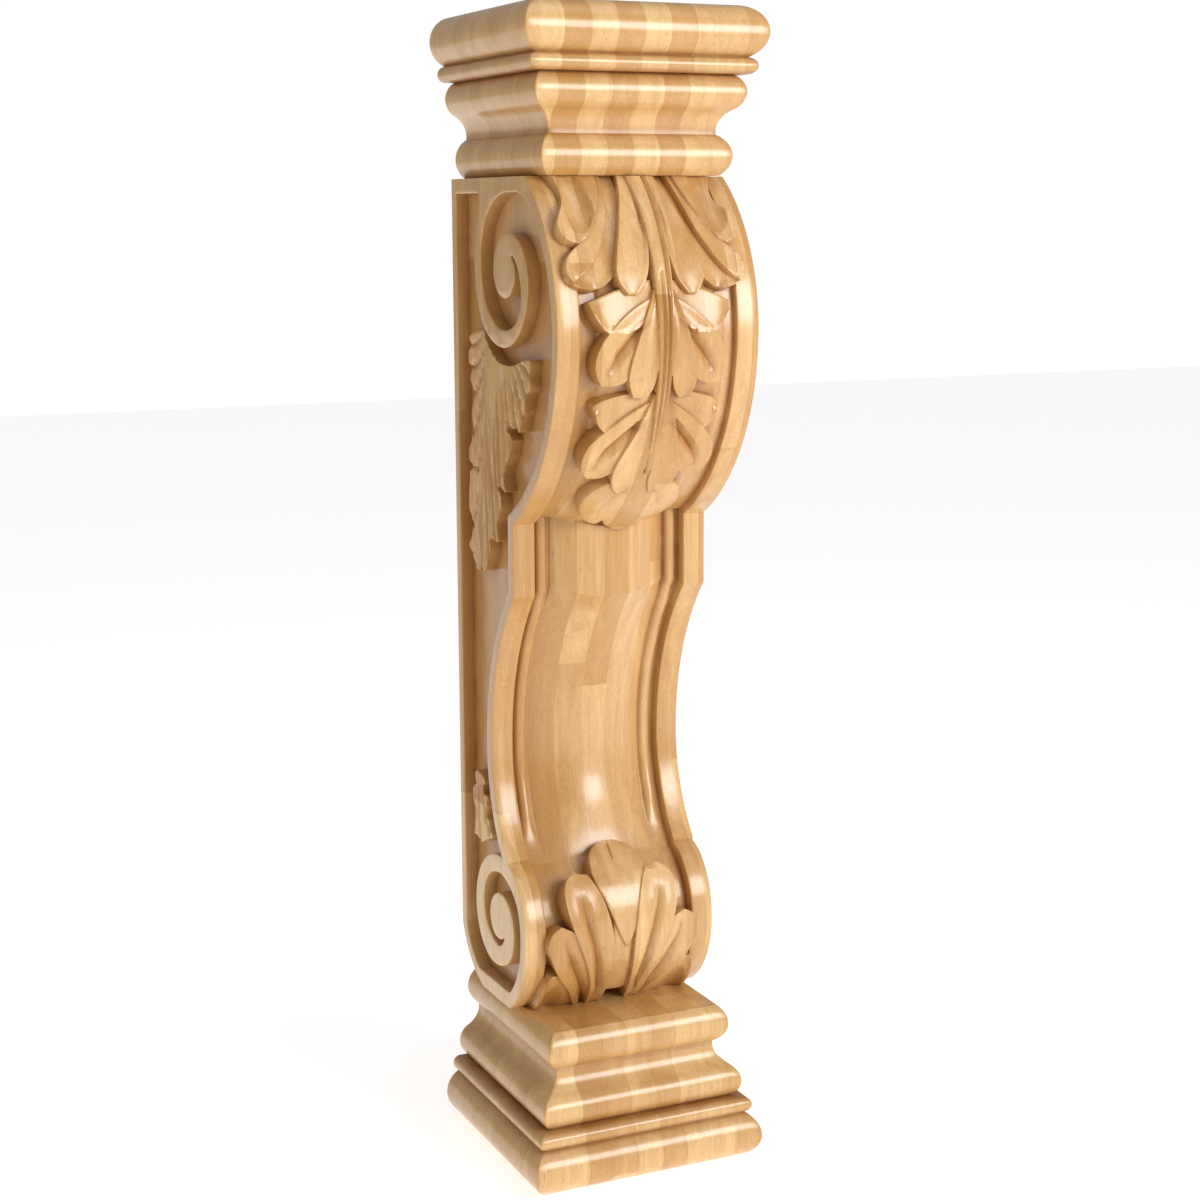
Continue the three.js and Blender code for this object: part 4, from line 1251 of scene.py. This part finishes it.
class CORBEL_OT_blocks(bpy.types.Operator):
    """Build the moulded capital and base"""

    bl_idname = "corbel.blocks"
    bl_label = "Moulded Blocks"

    def execute(self, context):
        finish = context.scene.corbel_finish
        mitre = BLOCK_HALF * MM, -BLOCK_FRONT * MM
        blocks = (("capital", True, 0.004, 3.0), ("base", False, 0.0115, 8.0))
        for name, upside_down, shift, seed in blocks:
            material = hardwood(f"{name}_hardwood", finish, wood_groups(), shift, seed, mitre)
            piece = block_mesh(f"{name}_moulded", upside_down)
            place(piece, name, material)
        return {"FINISHED"}


class CORBEL_OT_body(bpy.types.Operator):
    """Build the scrolled body with its leaf, foot leaves and sunk sides"""

    bl_idname = "corbel.body"
    bl_label = "Carved Body"

    def execute(self, context):
        finish = context.scene.corbel_finish
        points, faces, shade_and_knots = assemble_body()
        piece = mesh_object("body_carved", points, faces, shade_and_knots, BODY_CREASE)
        cut_level(piece, BODY_TOP, True)
        cut_level(piece, BODY_BOTTOM, False)
        if not piece.data.polygons:
            raise RuntimeError("The body came out empty")
        material = hardwood("body_hardwood", finish, wood_groups(), 0.008, 11.0)
        place(piece, "body", material)
        return {"FINISHED"}


class CORBEL_OT_stage(bpy.types.Operator):
    """Add the floor, the soft lights and the camera"""

    bl_idname = "corbel.stage"
    bl_label = "Studio Stage"

    def execute(self, context):
        stage = context.scene.corbel_stage
        add_floor(stage)
        add_lights(stage)
        add_camera(stage)
        return {"FINISHED"}


# Soft lights: name, place and width in metres, and share of the light power
SOFT_BOXES = (("key", (1.0, -2.1, 1.25), 1.0, 1.25), ("left", (-2.4, -0.5, 1.3), 1.2, 0.12),
              ("top", (0.2, -0.6, 2.6), 1.4, 0.3))
CAMERA_PLACE = (-0.71668, -1.64836 + BACK * MM, 0.75959)
CAMERA_TURN = 0.43356, 0.15837, -0.00497  # yaw, pitch and roll, in radians
CAMERA_SHIFT = -0.0333
FLOOR_GAP = 0.0004


def add_floor(stage):
    """Pale floor under the bracket."""
    half = stage.floor_size / 2
    mesh = bpy.data.meshes.new("studio_floor")
    corners = [(-half, -half, 0), (half, -half, 0), (half, half, 0), (-half, half, 0)]
    mesh.from_pydata(corners, [], [(0, 1, 2, 3)])
    floor = bpy.data.objects.new("studio_floor", mesh)
    floor.location.z = -FLOOR_GAP
    bpy.context.scene.collection.objects.link(floor)
    mesh.materials.append(pale_floor())


def add_lights(stage):
    """Large soft lights and a pale surround."""
    scene = bpy.context.scene
    world = bpy.data.worlds.new("pale_surround")
    world.use_nodes = True
    surround = world.node_tree.nodes["Background"]
    surround.inputs["Color"].default_value = (1, 1, 1, 1)
    w = Wiring(world.node_tree)
    seen = w.add("ShaderNodeLightPath").outputs["Is Camera Ray"]
    strength = w.maths("MULTIPLY_ADD", seen, 1.0 - stage.surround, stage.surround)
    w.put(strength, surround.inputs["Strength"])
    scene.world = world
    scene.view_settings.view_transform = "Standard"
    aim = Vector((0, 0, 0.5))
    for name, spot, size, share in SOFT_BOXES:
        light = bpy.data.lights.new(f"soft_{name}", "AREA")
        light.shape = "SQUARE"
        light.size = size
        light.energy = stage.light_power * share
        lamp = bpy.data.objects.new(f"soft_{name}", light)
        lamp.location = spot
        lamp.rotation_euler = (aim - Vector(spot)).to_track_quat("-Z", "Y").to_euler()
        scene.collection.objects.link(lamp)


def add_camera(stage):
    """Camera to the front left, looking down a little from the height of the belly."""
    data = bpy.data.cameras.new("camera")
    data.sensor_width = 36
    data.lens = stage.focal_length
    data.shift_y = CAMERA_SHIFT
    data.clip_end = 50
    yaw, pitch, roll = CAMERA_TURN
    ahead = Vector((math.sin(yaw) * math.cos(pitch), math.cos(yaw) * math.cos(pitch),
                    -math.sin(pitch)))
    right = Vector((math.cos(yaw), -math.sin(yaw), 0))
    up = right.cross(ahead)
    level = right * math.cos(roll) + up * math.sin(roll)
    upright = up * math.cos(roll) - right * math.sin(roll)
    turn = Matrix((level, upright, -ahead)).transposed()
    camera = bpy.data.objects.new("camera", data)
    camera.matrix_world = Matrix.Translation(CAMERA_PLACE) @ turn.to_4x4()
    bpy.context.scene.collection.objects.link(camera)
    bpy.context.scene.camera = camera


class CORBEL_PT_panel(bpy.types.Panel):
    """Sidebar panel with the corbel's settings and pieces"""

    bl_idname = "CORBEL_PT_panel"
    bl_label = "Carved Corbel"
    bl_space_type = "VIEW_3D"
    bl_region_type = "UI"
    bl_category = "Corbel"

    def draw(self, context):
        layout = self.layout
        for settings in (context.scene.corbel_finish, context.scene.corbel_stage):
            column = layout.column()
            for name in settings.__annotations__:
                column.prop(settings, name)
        for operator in OPERATORS:
            layout.operator(operator.bl_idname)


OPERATORS = (CORBEL_OT_blocks, CORBEL_OT_body, CORBEL_OT_stage)
CLASSES = (CorbelFinish, CorbelStage, *OPERATORS, CORBEL_PT_panel)


def register():
    """Registers the classes and the settings."""
    for item in CLASSES:
        bpy.utils.register_class(item)
    bpy.types.Scene.corbel_finish = bpy.props.PointerProperty(type=CorbelFinish)
    bpy.types.Scene.corbel_stage = bpy.props.PointerProperty(type=CorbelStage)


def unregister():
    """Takes the settings and the classes out again."""
    del bpy.types.Scene.corbel_stage
    del bpy.types.Scene.corbel_finish
    for item in reversed(CLASSES):
        bpy.utils.unregister_class(item)


def main():
    """Builds the bracket and its stage."""
    register()
    bpy.ops.corbel.stage()
    bpy.ops.corbel.blocks()
    bpy.ops.corbel.body()


if __name__ == "__main__":
    main()
